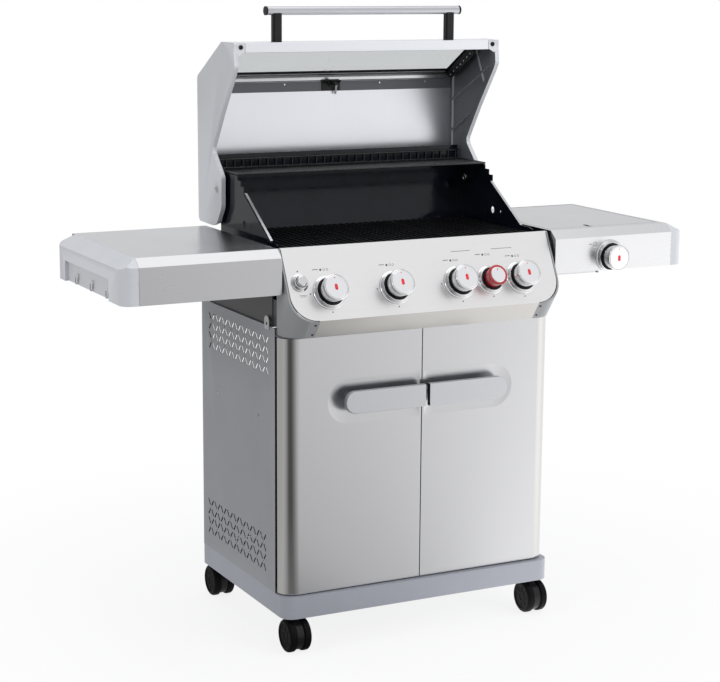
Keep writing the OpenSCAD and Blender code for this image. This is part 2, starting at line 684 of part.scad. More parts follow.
module right_shelf() color(steel) difference() {
    union() {
        shelf_shell(shelf_in, cap_in);
        // ledge under the burner lid, with the ears of its hinge
        difference() {
            box([shelf_in + 1.3, lid_y0 - 12, 872], [cap_in, 205, 873.2]);
            box([lid_x0 + 4, lid_y0 + 4, 870], [lid_x1 - 4, lid_y1 - 2, 875]);
        }
        for (x = [shelf_in + 1.3, cap_in - 5]) box([x, lid_y0 - 12, 873], [x + 5, 205, shelf_z - 0.5]);
    }
    box([lid_x0 - 1.8, lid_y0 - 1.8, shelf_z - 4], [lid_x1 + 1.8, 202.8, shelf_z + 1]);
    rod_x(3 + fit, shelf_in + 1, cap_in + 1, side_hinge[0], side_hinge[1]);
    rod_y(7.5, shelf_front_y - 1, shelf_front_y + 3, side_knob_x, side_knob_z);
}

module end_cap() difference() {
    union() {
        difference() {
            translate([0, 0, shelf_bottom_z]) linear_extrude(shelf_h + 0.5) polygon(rounded([
                [cap_in + 0.1, shelf_front_y, 0], [shelf_out, shelf_front_y, 24],
                [shelf_out, shelf_back_y, 24], [cap_in + 0.1, shelf_back_y, 0]
            ]));
            // top bevel on three sides
            translate([0, shelf_front_y, shelf_z - bevel_z]) rotate([39.3, 0, 0])
                translate([cap_in - 1, -60, 0]) cube([60, 120, 40]);
            translate([0, shelf_back_y, shelf_z - bevel_z]) rotate([-39.3, 0, 0])
                translate([cap_in - 1, -60, 0]) cube([60, 120, 40]);
            translate([shelf_out, 0, shelf_z - bevel_z - 4]) rotate([0, 32, 0])
                translate([-60, shelf_front_y - 1, 0]) cube([80, 440, 40]);
            // hollow underside
            box([cap_in - 1, shelf_front_y + 6, shelf_bottom_z - 1],
                [shelf_out - 14, shelf_back_y - 6, shelf_z - 30]);
        }
    }
    // long recess in the outer face
    box([cap_recess_x, -128, shelf_bottom_z - 1], [shelf_out + 1, 154, shelf_z - 51]);
}
module shelf_end_caps() color(light_grey) both_sides() end_cap();

module hook_at(y) {
    x = -cap_recess_x;
    wire = 1.5;
    rod_x(5, x - 3.4, x - 0.1, y, 819);
    rod_z(wire, 804.5, 820, x - 2, y);
    translate([x - 4.7, y, 804.5]) rotate([90, 0, 0])
        rotate_extrude(angle = 180, start = 180) translate([2.7, 0]) circle(r = wire);
    rod_z(wire, 804.5, 815, x - 7.4, y);
    translate([x - 7.4, y, 815]) sphere(r = wire);
}
module utensil_hooks() color(black) for (y = [-108, -9, 88]) hook_at(y);

// ---------- side burner ----------
module side_burner_lid() color(steel) difference() {
    union() {
        box([lid_x0, lid_y0, shelf_z - 1.2], [lid_x1, lid_y1, shelf_z]);
        difference() {
            box([lid_x0 + 6, lid_y0 + 6, shelf_z - 12], [lid_x1 - 6, lid_y1 - 14, shelf_z - 1]);
            box([lid_x0 + 7.2, lid_y0 + 7.2, shelf_z - 13], [lid_x1 - 7.2, lid_y1 - 15.2, shelf_z - 1.2]);
        }
        // hinge arms and stub pins
        for (x = [lid_x0 + 6, lid_x1 - 12])
            box([x, side_hinge[0] - 14, shelf_z - 14], [x + 6, side_hinge[0] + 5, shelf_z - 1]);
        rod_x(3, shelf_in + 2, lid_x0 + 8, side_hinge[0], side_hinge[1]);
        rod_x(3, lid_x1 - 8, cap_in - 0.5, side_hinge[0], side_hinge[1]);
    }
    // finger notch at the front edge
    rod_z(7, shelf_z - 3, shelf_z + 1, 464, lid_y0 + 1);
}
module side_burner_bowl() color(dark_steel) difference() {
    union() {
        difference() {
            box([385, -120, 826], [615, 150, 870.5]);
            box([386.5, -118.5, 827.5], [613.5, 148.5, 880]);
        }
        difference() {
            box([lid_x0 + 2, lid_y0 + 2, 870.4], [lid_x1 - 2, lid_y1 - 4, 871.8]);
            box([386.5, -118.5, 869], [613.5, 148.5, 880]);
        }
    }
    rod_y(13, -121, -115, side_knob_x, side_knob_z + 10);
    rod_z(4, 820, 830, 600, 135);
}
module side_burner() {
    cx = 500; cy = 15;
    color(black) difference() {
        union() {
            translate([cx, cy, 0]) rotate_extrude($fn = 72)
                polygon([[0, 834], [32, 834], [46, 850], [46, 858], [30, 862], [0, 862]]);
            rod_z(12, 827.6, 835, cx, cy);
        }
        for (a = [0:15:345]) translate([cx, cy, 856]) rotate([0, 0, a])
            translate([36, 0, 0]) rotate([0, 90, 0]) cylinder(r = 1.6, h = 12, $fn = 16);
    }
    color(steel) difference() {
        rod_y(10, -158, cy - 31, side_knob_x, side_knob_z + 10);
        rod_y(8.5, -159, cy - 36, side_knob_x, side_knob_z + 10);
    }
}
module side_burner_grate() color(black) {
    z = 876;
    translate([500, 15, 0]) difference() {
        rod_z(74, z - 3, z + 3, 0, 0);
        rod_z(68, z - 4, z + 4, 0, 0);
    }
    for (a = [0:90:270]) translate([500, 15, 0]) rotate([0, 0, a]) box([22, -3, z - 3], [70, 3, z + 3]);
    for (s = [-1, 1]) {
        box([500 + s * 122 - 6, 12, z - 3.8], [500 + s * 122 + 6, 18, z + 3]);
        box([min(500 + s * 72, 500 + s * 118), 12, z - 3], [max(500 + s * 72, 500 + s * 118), 18, z + 3]);
    }
    for (s = [-1, 1])
        box([497, min(15 + s * 72, 15 + s * 142), z - 3], [503, max(15 + s * 72, 15 + s * 142), z + 3]);
}

// ---------- lid, drawn open ----------
window_top = [118, lid_top_z];
window_low = [261, 1232];
cheek_outline = rounded([
    [lid_front_y, lid_top_z, 4], [window_top[0], window_top[1], 10], [window_low[0], window_low[1], 14],
    [259, 901, 12], [177, 899, 0], [150, 907, 20], [123, 945, 30], [122, 1014, 14], [177, 1070, 16],
    [120, 1156, 0], [56, 1242, 0], [44, 1262, 14], [lid_front_y, 1292, 4]
]);
module cheek() difference() {
    union() {
        slab_x(cheek_in, lid_half_w, cheek_outline);
        // inward tab that the front rail is screwed to
        slab_y(lid_front_y, lid_front_y + 6) polygon([
            [cheek_in + 1, lid_top_z - 30], [309, lid_top_z - 20],
            [309, lid_top_z - 1.8], [cheek_in + 1, lid_top_z - 1.8]
        ]);
    }
    // weight-saving pocket on the inside, with ribs left standing
    difference() {
        slab_x(cheek_in - 1, cheek_in + 5, rounded([
            [70, 1290, 6], [116, 1298, 6], [246, 1224, 8], [246, 925, 14], [196, 925, 10], [190, 1010, 10],
            [196, 1074, 10], [140, 1156, 0], [76, 1242, 6]
        ]));
        for (p = [[240, 1010, 30], [190, 1120, -28], [160, 1210, -28], [120, 1250, 62]])
            translate([cheek_in - 2, p[0], p[1]]) rotate([p[2], 0, 0])
                translate([0, -120, -2]) cube([9, 240, 4]);
    }
    rod_x(5 + fit, cheek_in - 1, lid_half_w + 1, lid_hinge_y, lid_hinge_z);
    rod_y(3.5, lid_front_y - 1, lid_front_y + 7, 319, lid_top_z - 10);
}
module lid_cheeks() color(light_grey) both_sides() cheek();

module lid_back_panel() color(steel) {
    path = concat(
        [[window_low[0] - 3.5, window_low[1] - 4]], arc([231.5, 928], 26, 0, -90, 8), [[182, 902]]
    );
    difference() {
        slab_x(-cheek_in + gap, cheek_in - gap, folded(path, -1.5));
        rod_y(5, 250, 262, 0, 1212);
    }
}
module lid_front_rail() color(steel) {
    y0 = lid_front_y + 0.2;
    slab_x(-cheek_in + gap, cheek_in - gap, folded([
        [window_top[0] - 1, lid_top_z - 16], [window_top[0] - 1, lid_top_z - 0.2], [y0, lid_top_z - 0.2]
    ], 1.4));
    // front lip between the cheeks' tabs
    box([-308.5, y0, lid_top_z - 22], [308.5, y0 + 1.4, lid_top_z - 1.4]);
    box([-308.5, y0, lid_top_z - 22], [308.5, y0 + 10, lid_top_z - 20.6]);
}
module lid_window() {
    d = unit(window_low - window_top);
    n = [d[1], -d[0]];
    function at(s, h) = window_top + s * d + h * n;
    // glass in a black frame
    color("#9fb0b5", 0.4) slab_x(-316, 316, [at(12, 3), at(12, 7), at(152, 7), at(152, 3)]);
    color(black) difference() {
        slab_x(-cheek_in + gap, cheek_in - gap, [at(6, 0.6), at(6, 9), at(162, 9), at(162, 0.6)]);
        slab_x(-308, 308, [at(16, -1), at(16, 12), at(146, 12), at(146, -1)]);
        slab_x(-316.2, 316.2, [at(11.8, 2.8), at(11.8, 7.2), at(152.2, 7.2), at(152.2, 2.8)]);
    }
}
module thermometer() color(chrome) {
    z = 1212;
    rod_y(4.9, 226, 259.3, 0, z);
    rod_y(9, 252, 255.8, 0, z);
    translate([0, 259.2, z]) rotate([-90, 0, 0]) rotate_extrude($fn = 64)
        polygon([[0, 0], [24, 0], [30, 4], [30, 17], [28, 18.7], [26.5, 18.7], [26.5, 15], [0, 15]]);
}

lid_handle_y = 80;
lid_handle_half = 243;
standoff_x = 219;
module lid_handle() color(chrome) difference() {
    rod_x(9.5, -lid_handle_half, lid_handle_half, lid_handle_y, lid_handle_z);
    rod_x(8, -lid_handle_half - 1, lid_handle_half + 1, lid_handle_y, lid_handle_z);
}
module lid_handle_mounts() color(black) both_sides() {
    difference() {
        translate([standoff_x, lid_handle_y, lid_top_z]) linear_extrude(lid_handle_z - lid_top_z - 6.5)
            polygon(rounded([[-10.5, -9, 4], [10.5, -9, 4], [10.5, 9, 4], [-10.5, 9, 4]]));
        rod_x(9.5 + fit, standoff_x - 20, standoff_x + 20, lid_handle_y, lid_handle_z);
    }
    rod_x(7.9, lid_handle_half - 8, lid_handle_half + 1, lid_handle_y, lid_handle_z);
    rod_x(10, lid_handle_half + 0.1, lid_handle_half + 4, lid_handle_y, lid_handle_z);
}
module lid_hinge_bolts() color(dark_steel) both_sides() {
    rod_x(5, box_half_w - 9, lid_half_w + 1, lid_hinge_y, lid_hinge_z);
    rod_x(9, lid_half_w + 0.4, lid_half_w + 3.4, lid_hinge_y, lid_hinge_z);
    rod_x(9, box_half_w - 12, box_half_w - 8.2, lid_hinge_y, lid_hinge_z);
}

// ---------- casters ----------
// s is the side the wheels trail to: -1 to the front, 1 to the back
module caster_hood(x, y, s) color(black) translate([x, y, 0]) {
    rod_z(5.5, 70, tray_z + 34, 0, 0);
    rod_z(14, 75.6, tray_z - 0.6, 0, 0);
    difference() {
        union() {
            rod_x(wheel_d / 2 - 4, -8, 8, s * caster_trail, wheel_z);
            box([-8, min(0, s * 12) - 8, 56], [8, max(0, s * 12) + 8, 76]);
        }
        rod_x(3.8, -9, 9, s * caster_trail, wheel_z);
    }
}
module caster_wheel() rotate([0, 90, 0]) rotate_extrude($fn = 72) polygon(concat(
    [[0, 9], [26, 9], [27, 8.6], [wheel_z - 2, 8.6]], arc([wheel_z - 3, 11.6], 3, -60, 0, 4),
    arc([wheel_z - 7, 19], 7, 0, 90, 6), [[24, 26], [22, 24.5], [0, 24.5]]
));
module caster_wheels(x, y, s) color(black) translate([x, y + s * caster_trail, wheel_z]) {
    caster_wheel();
    mirror([1, 0, 0]) caster_wheel();
    rod_x(3.75, -10, 10, 0, 0);
}
module caster_hood_front_left() caster_hood(-caster_x, caster_front_y, -1);
module caster_hood_front_right() caster_hood(caster_x, caster_front_y, -1);
module caster_hood_back_left() caster_hood(-caster_x, caster_back_y, 1);
module caster_hood_back_right() caster_hood(caster_x, caster_back_y, 1);
module caster_wheels_front_left() caster_wheels(-caster_x, caster_front_y, -1);
module caster_wheels_front_right() caster_wheels(caster_x, caster_front_y, -1);
module caster_wheels_back_left() caster_wheels(-caster_x, caster_back_y, 1);
module caster_wheels_back_right() caster_wheels(caster_x, caster_back_y, 1);

base_tray();
left_side_panel();
right_side_panel();
back_panel();
front_rail();
door_left();
door_right();
door_handle_left();
door_handle_right();
door_hinge_pins();
firebox();
heat_tamers();
burners();
cooking_grates();
warming_rack();
grease_tray();
grease_cup();
gas_manifold();
support_brackets();
control_panel();
panel_end_caps();
knob_bezels();
valve_stem_1();
valve_stem_2();
valve_stem_3();
valve_stem_4();
sear_stem();
side_stem();
burner_knob_1();
burner_knob_2();
burner_knob_3();
burner_knob_4();
sear_knob();
side_knob();
igniter_button();
igniter_module();
left_shelf();
right_shelf();
shelf_end_caps();
utensil_hooks();
side_burner_lid();
side_burner();
side_burner_grate();
side_burner_bowl();
lid_cheeks();
lid_back_panel();
lid_front_rail();
lid_window();
thermometer();
lid_handle();
lid_handle_mounts();
lid_hinge_bolts();
caster_hood_front_left();
caster_hood_front_right();
caster_hood_back_left();
caster_hood_back_right();
caster_wheels_front_left();
caster_wheels_front_right();
caster_wheels_back_left();
caster_wheels_back_right();
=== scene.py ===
"""Looks of the gas barbecue grill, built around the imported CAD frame."""
import bpy, bmesh, json, math
from mathutils import Matrix, Vector


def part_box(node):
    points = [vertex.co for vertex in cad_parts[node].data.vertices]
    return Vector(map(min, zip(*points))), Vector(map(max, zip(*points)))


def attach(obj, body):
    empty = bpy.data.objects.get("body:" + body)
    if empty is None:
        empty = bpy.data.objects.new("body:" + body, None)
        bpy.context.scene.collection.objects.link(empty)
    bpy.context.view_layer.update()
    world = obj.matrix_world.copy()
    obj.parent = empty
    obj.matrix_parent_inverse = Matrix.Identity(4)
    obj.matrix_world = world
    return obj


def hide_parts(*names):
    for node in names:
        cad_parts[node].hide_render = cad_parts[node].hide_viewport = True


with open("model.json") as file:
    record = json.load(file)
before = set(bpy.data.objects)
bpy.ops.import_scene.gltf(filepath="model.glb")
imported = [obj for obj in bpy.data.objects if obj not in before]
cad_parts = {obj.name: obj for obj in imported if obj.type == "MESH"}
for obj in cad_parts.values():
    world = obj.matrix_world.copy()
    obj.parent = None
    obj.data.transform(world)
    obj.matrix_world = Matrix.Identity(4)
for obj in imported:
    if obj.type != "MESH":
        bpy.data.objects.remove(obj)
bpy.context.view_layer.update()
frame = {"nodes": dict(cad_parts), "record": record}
MM = 0.001
BODY = {n: b for b, ns in frame["record"]["behaviour"]["bodies"].items() for n in ns}
SLOT = {s["node"]: s["material_slot"] for s in frame["record"]["subparts"]}

# ---------------------------------------------------------------- materials
def new_material(name):
    m = bpy.data.materials.new(name)
    m.use_nodes = True
    return m, m.node_tree.nodes, m.node_tree.links, m.node_tree.nodes["Principled BSDF"]


def coords(nodes, links, scale):
    tex = nodes.new("ShaderNodeTexCoord")
    mapping = nodes.new("ShaderNodeMapping")
    mapping.inputs["Scale"].default_value = scale
    links.new(tex.outputs["Object"], mapping.inputs["Vector"])
    return mapping.outputs["Vector"]


def noise(nodes, links, vector, scale, detail=3.0, rough=0.5):
    n = nodes.new("ShaderNodeTexNoise")
    n.inputs["Scale"].default_value = scale
    n.inputs["Detail"].default_value = detail
    n.inputs["Roughness"].default_value = rough
    links.new(vector, n.inputs["Vector"])
    return n.outputs["Fac"]


def spread(nodes, links, value, low, high, a=0.3, b=0.7):
    r = nodes.new("ShaderNodeMapRange")
    r.inputs["From Min"].default_value, r.inputs["From Max"].default_value = a, b
    r.inputs["To Min"].default_value, r.inputs["To Max"].default_value = low, high
    links.new(value, r.inputs["Value"])
    return r.outputs["Result"]


def tint(nodes, links, value, dark, light, a=0.3, b=0.7):
    ramp = nodes.new("ShaderNodeValToRGB")
    ramp.color_ramp.elements[0].position, ramp.color_ramp.elements[1].position = a, b
    ramp.color_ramp.elements[0].color = (*dark, 1)
    ramp.color_ramp.elements[1].color = (*light, 1)
    links.new(value, ramp.inputs["Fac"])
    return ramp.outputs["Color"]


def bump(nodes, links, bsdf, value, strength, distance):
    b = nodes.new("ShaderNodeBump")
    b.inputs["Strength"].default_value = strength
    b.inputs["Distance"].default_value = distance
    links.new(value, b.inputs["Height"])
    links.new(b.outputs["Normal"], bsdf.inputs["Normal"])


def shade(c, k):
    return tuple(min(1.0, max(0.0, x * k)) for x in c)


def brushed(name, color, rough, grain="x", depth=0.03, vary=0.018, grit=0.02):
    """Metal with a directional brushed grain along one axis."""
    m, nodes, links, bsdf = new_material(name)
    long, fine = 3.0, 900.0
    scale = {"x": (long, fine, fine), "y": (fine, long, fine), "z": (fine, fine, long)}[grain]
    streak = noise(nodes, links, coords(nodes, links, scale), 1.0, 4.0, 0.62)
    cloud = noise(nodes, links, coords(nodes, links, (1, 1, 1)), 7.0, 3.0, 0.5)
    tone = tint(nodes, links, streak, shade(color, 1 - vary), shade(color, 1 + vary))
    links.new(tone, bsdf.inputs["Base Color"])
    mix = nodes.new("ShaderNodeMath")
    mix.operation = "ADD"
    links.new(spread(nodes, links, streak, rough - grit, rough + grit), mix.inputs[0])
    links.new(spread(nodes, links, cloud, -0.015, 0.02), mix.inputs[1])
    links.new(mix.outputs[0], bsdf.inputs["Roughness"])
    bsdf.inputs["Metallic"].default_value = 1.0
    bump(nodes, links, bsdf, streak, depth, 0.0002)
    return m


def painted(name, color, rough=0.42, grain=0.08, metallic=0.0, fleck=0.03, coat=0.0):
    """Powder coat: fine orange-peel grain, slight mottling, paler convex edges and corners."""
    m, nodes, links, bsdf = new_material(name)
    vec = coords(nodes, links, (1, 1, 1))
    peel = noise(nodes, links, vec, 1400.0, 2.0, 0.5)
    cloud = noise(nodes, links, vec, 9.0, 4.0, 0.55)
    base = tint(nodes, links, cloud, shade(color, 1 - fleck), shade(color, 1 + fleck))
    geo = nodes.new("ShaderNodeNewGeometry")
    pale_edge = spread(nodes, links, geo.outputs["Pointiness"], 0.0, 0.45, 0.53, 0.62)
    mix = nodes.new("ShaderNodeMixRGB")
    mix.inputs["Color2"].default_value = (*shade(color, 1.35), 1)
    links.new(pale_edge, mix.inputs["Fac"])
    links.new(base, mix.inputs["Color1"])
    links.new(mix.outputs[0], bsdf.inputs["Base Color"])
    links.new(spread(nodes, links, peel, rough - 0.05, rough + 0.06), bsdf.inputs["Roughness"])
    bsdf.inputs["Metallic"].default_value = metallic
    bsdf.inputs["Coat Weight"].default_value = coat
    bump(nodes, links, bsdf, peel, grain, 0.0003)
    return m


def polished(name, color, rough, smear=0.05):
    """Polished plating with faint smears and hairline scratches."""
    m, nodes, links, bsdf = new_material(name)
    cloud = noise(nodes, links, coords(nodes, links, (1, 1, 1)), 60.0, 4.0, 0.6)
    hair = noise(nodes, links, coords(nodes, links, (40, 700, 700)), 1.0, 3.0, 0.7)
    links.new(tint(nodes, links, hair, shade(color, 0.95), color), bsdf.inputs["Base Color"])
    links.new(spread(nodes, links, cloud, rough, rough + smear), bsdf.inputs["Roughness"])
    bsdf.inputs["Metallic"].default_value = 1.0
    bump(nodes, links, bsdf, hair, 0.012, 0.0001)
    return m


def rough_iron(name, color, rough, lump=0.35, scale=420.0, gloss=0.5):
    """Enamelled or cast surface: pitted grain and patchy sheen."""
    m, nodes, links, bsdf = new_material(name)
    vec = coords(nodes, links, (1, 1, 1))
    grit = noise(nodes, links, vec, scale, 5.0, 0.65)
    cloud = noise(nodes, links, vec, 25.0, 4.0, 0.6)
    links.new(tint(nodes, links, cloud, shade(color, 0.7), shade(color, 1.5)), bsdf.inputs["Base Color"])
    links.new(spread(nodes, links, grit, rough - 0.04, rough + 0.08), bsdf.inputs["Roughness"])
    bsdf.inputs["Specular IOR Level"].default_value = gloss
    bump(nodes, links, bsdf, grit, lump, 0.0006)
    return m


def plastic(name, color, rough, grain=0.12, scale=900.0, coat=0.0, gloss=0.5):
    """Moulded plastic with a fine spark-eroded texture."""
    m, nodes, links, bsdf = new_material(name)
    vec = coords(nodes, links, (1, 1, 1))
    grit = noise(nodes, links, vec, scale, 3.0, 0.6)
    cloud = noise(nodes, links, vec, 35.0, 3.0, 0.5)
    links.new(tint(nodes, links, cloud, shade(color, 0.82), shade(color, 1.2)), bsdf.inputs["Base Color"])
    links.new(spread(nodes, links, grit, rough - 0.06, rough + 0.08), bsdf.inputs["Roughness"])
    bsdf.inputs["Coat Weight"].default_value = coat
    bsdf.inputs["Coat Roughness"].default_value = 0.08
    bsdf.inputs["Specular IOR Level"].default_value = gloss
    bump(nodes, links, bsdf, grit, grain, 0.0003)
    return m


def glass(name, color, rough):
    m, nodes, links, bsdf = new_material(name)
    vec = coords(nodes, links, (1, 1, 1))
    cloud = noise(nodes, links, vec, 14.0, 4.0, 0.6)
    links.new(tint(nodes, links, cloud, shade(color, 0.97), color), bsdf.inputs["Base Color"])
    links.new(spread(nodes, links, cloud, rough, rough + 0.05), bsdf.inputs["Roughness"])
    bsdf.inputs["Transmission Weight"].default_value = 1.0
    bsdf.inputs["IOR"].default_value = 1.2
    return m


M = {
    "stainless": brushed("stainless", (0.575, 0.575, 0.59), 0.24, "x", 0.006, 0.006, 0.006),
    # the doors' wrapped edge: the door steel a little darker and glossier; the darker colour is painted shade
    # on the wrap
    "door_edge": brushed("door_edge", (0.56, 0.555, 0.55), 0.13, "x", 0.006, 0.006, 0.006),
    "cap_paint": painted("cap_paint", (0.29, 0.30, 0.31), 0.30),
    "panel_steel": brushed("panel_steel", (0.90, 0.89, 0.88), 0.34, "x", 0.015, 0.012, 0.012),
    # the control panel's lip: the panel steel made darker, as painted shade on its down-facing faces
    "lip_steel": brushed("lip_steel", (0.50, 0.485, 0.465), 0.30, "x", 0.015, 0.015, 0.012),
    # the right shelf's front face: the shelf steel made brighter, as painted light from the right
    "fascia_steel": brushed("fascia_steel", (0.72, 0.72, 0.73), 0.27, "x", 0.010, 0.008, 0.008),
    "shelf_steel": brushed("shelf_steel", (0.56, 0.56, 0.57), 0.25, "x", 0.010, 0.008, 0.008),
    "lid_steel": brushed("lid_steel", (0.84, 0.855, 0.89), 0.33, "z", 0.012, 0.012, 0.012),
    "handle_steel": brushed("handle_steel", (0.56, 0.565, 0.59), 0.36, "x"),
    "burner_steel": brushed("burner_steel", (0.46, 0.44, 0.41), 0.38, "y", 0.1, 0.12),
    "plated_steel": brushed("plated_steel", (0.55, 0.56, 0.58), 0.35, "x", 0.05, 0.1),
    "zinc": brushed("zinc", (0.50, 0.50, 0.51), 0.3, "z", 0.04, 0.06),
    "chrome": polished("chrome", (0.74, 0.74, 0.75), 0.05),
    "knob_face": brushed("knob_face", (0.90, 0.90, 0.91), 0.30, "z", 0.02, 0.02),
    "side_paint": painted("side_paint", (0.295, 0.305, 0.325), 0.40),
    "tray_paint": painted("tray_paint", (0.36, 0.375, 0.42), 0.38),
    "light_paint": painted("light_paint", (0.60, 0.615, 0.645), 0.36),
    # the dark inner paint: the band under the window, and painted shade on the lid cheeks' inner faces
    "inner_paint": painted("inner_paint", (0.13, 0.135, 0.15), 0.42),
    # the dark paint: the brackets' own colour, and painted shade on the side panels' front faces
    "dark_paint": painted("dark_paint", (0.05, 0.05, 0.053), 0.42),
    "enamel": rough_iron("enamel", (0.0035, 0.0045, 0.0085), 0.12, 0.010, 45.0, 0.30),
    "cast_iron": rough_iron("cast_iron", (0.006, 0.0062, 0.007), 0.32, 0.2, 420.0, 0.4),
    "rack_wire": rough_iron("rack_wire", (0.014, 0.0145, 0.016), 0.26, 0.08, 420.0, 0.6),
    "black_plastic": plastic("black_plastic", (0.006, 0.006, 0.007), 0.36, 0.1, gloss=0.35),
    "wheel_plastic": plastic("wheel_plastic", (0.004, 0.004, 0.0045), 0.5, 0.12, gloss=0.1),
    "red_plastic": plastic("red_plastic", (0.42, 0.006, 0.012), 0.16, 0.02, 500.0, 0.6),
    "red_print": plastic("red_print", (0.75, 0.02, 0.03), 0.35, 0.02, 500.0),
    "black_print": plastic("black_print", (0.03, 0.03, 0.033), 0.45, 0.03, 700.0),
    "dial_face": plastic("dial_face", (0.80, 0.80, 0.78), 0.4, 0.02, 300.0, 0.3),
    # the seal black: black rubber and plastic parts, and the painted shadow strip along the panel face's seam
    "seal": plastic("seal", (0.01, 0.01, 0.011), 0.55, 0.2, 500.0),
    "window_glass": glass("window_glass", (0.68, 0.70, 0.705), 0.02),
}

# ---------------------------------------------------------------- mesh helpers
def finish_mesh(name, bm, materials, body, nodes=(), width=0.0, segments=3, angle=28, smooth=35):
    """Turns a bmesh into a piece with rounded edges that rides on a body."""
    bmesh.ops.recalc_face_normals(bm, faces=bm.faces)
    me = bpy.data.meshes.new(name)
    bm.to_mesh(me)
    bm.free()
    for m in materials:
        me.materials.append(M[m])
    ob = bpy.data.objects.new(name, me)
    bpy.context.scene.collection.objects.link(ob)
    if width:
        b = ob.modifiers.new("bevel", "BEVEL")
        b.width, b.segments = width, segments
        b.limit_method, b.angle_limit = "ANGLE", math.radians(angle)
        b.use_clamp_overlap = True
        b.harden_normals = False
    me.shade_smooth()
    me.set_sharp_from_angle(angle=math.radians(smooth))
    w = ob.modifiers.new("normals", "WEIGHTED_NORMAL")
    w.keep_sharp = True
    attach(ob, body)
    if nodes:
        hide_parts(*nodes)
    return ob


def cad_bmesh(node):
    bm = bmesh.new()
    bm.from_mesh(frame["nodes"][node].data)
    bmesh.ops.remove_doubles(bm, verts=bm.verts, dist=3e-6)
    bmesh.ops.dissolve_limit(bm, angle_limit=math.radians(0.5), verts=bm.verts, edges=bm.edges)
    for f in bm.faces:
        f.material_index = 0
    return bm


def stand_in(node, bm, materials, width=0.0, segments=3, angle=28, smooth=35):
    """A piece that takes the place of its CAD node."""
    return finish_mesh("look_" + node, bm, materials, BODY[node], [node],
                       width, segments, angle, smooth)


def refine(node, width, materials=None, pick=None, segments=3):
    """The CAD node's own shape with rounded edges. pick(middle, normal) gives a face's material."""
    bm = cad_bmesh(node)
    if pick:
        for f in bm.faces:
            f.material_index = pick(f.calc_center_median(), f.normal)
    return stand_in(node, bm, materials or [SLOT[node]], width, segments)


def lathe(bm, profile, at, steps=72, mats=None):
    """Turns (radius, height) points round the local Z axis of matrix at, in millimetres."""
    rings = []
    for r, h in profile:
        if r < 1e-6:
            rings.append([bm.verts.new(at @ Vector((0, 0, h * MM)))])
        else:
            rings.append([bm.verts.new(at @ Vector((r * MM * math.cos(a), r * MM * math.sin(a), h * MM)))
                          for a in (2 * math.pi * i / steps for i in range(steps))])
    for k in range(len(rings) - 1):
        a, b = rings[k], rings[k + 1]
        for i in range(steps):
            j = (i + 1) % steps
            ring = [a[i % len(a)], a[j % len(a)], b[j % len(b)], b[i % len(b)]]
            ring = [v for n, v in enumerate(ring) if v not in ring[:n]]
            if len(ring) > 2:
                f = bm.faces.new(ring)
                f.material_index = mats[k] if mats else 0
    return rings


def prism(bm, points, lift, mat=0):
    """A closed solid from an outline of points and the vector that carries it to its far side."""
    low = [bm.verts.new(Vector(p) * MM) for p in points]
    high = [bm.verts.new((Vector(p) + Vector(lift)) * MM) for p in points]
    n = len(low)
    faces = [bm.faces.new(low[::-1]), bm.faces.new(high)]
    faces += [bm.faces.new([low[i], low[(i + 1) % n], high[(i + 1) % n], high[i]]) for i in range(n)]
    for f in faces:
        f.material_index = mat
    return faces


def place(origin, z_axis, x_axis=(1, 0, 0)):
    z = Vector(z_axis).normalized()
    y = z.cross(Vector(x_axis)).normalized()
    x = y.cross(z)
    return Matrix.Translation(Vector(origin) * MM) @ Matrix((x, y, z)).transposed().to_4x4()


# the control panel's own frame: x along it, y up the slope, z out of it
panel_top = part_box("control_panel")[1].z / MM
TILT = math.radians(27)
PANEL_Y, PANEL_Z = -182.0, panel_top
FASCIA_Y = -213.0
OUT = Vector((0, -math.cos(TILT), math.sin(TILT)))
UP = Vector((0, math.sin(TILT), math.cos(TILT)))


def on_panel(x, s, n=0.0):
    p = Vector((x, PANEL_Y, PANEL_Z)) - UP * s + OUT * n
    return Matrix.Translation(p * MM) @ Matrix((Vector((1, 0, 0)), UP, OUT)).transposed().to_4x4()


def on_fascia(x, z, n=0.0):
    return Matrix.Translation(Vector((x, FASCIA_Y - n, z)) * MM) @ Matrix(
        (Vector((1, 0, 0)), Vector((0, 0, 1)), Vector((0, -1, 0)))).transposed().to_4x4()


def plate(bm, at, outline, thick=0.14, mat=0):
    """A thin printed mark: an outline in a local XY plane raised a little."""
    low = [bm.verts.new(at @ Vector((x * MM, y * MM, 0.02 * MM))) for x, y in outline]
    high = [bm.verts.new(at @ Vector((x * MM, y * MM, thick * MM))) for x, y in outline]
    n = len(low)
    faces = [bm.faces.new(low[::-1]), bm.faces.new(high)]
    faces += [bm.faces.new([low[i], low[(i + 1) % n], high[(i + 1) % n], high[i]]) for i in range(n)]
    for f in faces:
        f.material_index = mat


def capsule(w, h, cx=0.0, cy=0.0, steps=8):
    """Outline of a bar with round ends, w wide and h tall."""
    r = min(w, h) / 2
    dx, dy = w / 2 - r, h / 2 - r
    pts = []
    for k in range(4):
        sx, sy = ((1, 1), (-1, 1), (-1, -1), (1, -1))[k]
        for i in range(steps + 1):
            a = math.pi / 2 * (k + i / steps)
            pts.append((cx + sx * dx + r * math.cos(a), cy + sy * dy + r * math.sin(a)))
    clean = []
    for p in pts:
        if not clean or math.dist(p, clean[-1]) > 1e-4:
            clean.append(p)
    if math.dist(clean[0], clean[-1]) < 1e-4:
        clean.pop()
    return clean


# ---------------------------------------------------------------- cart
refine("base_tray", 0.0016)
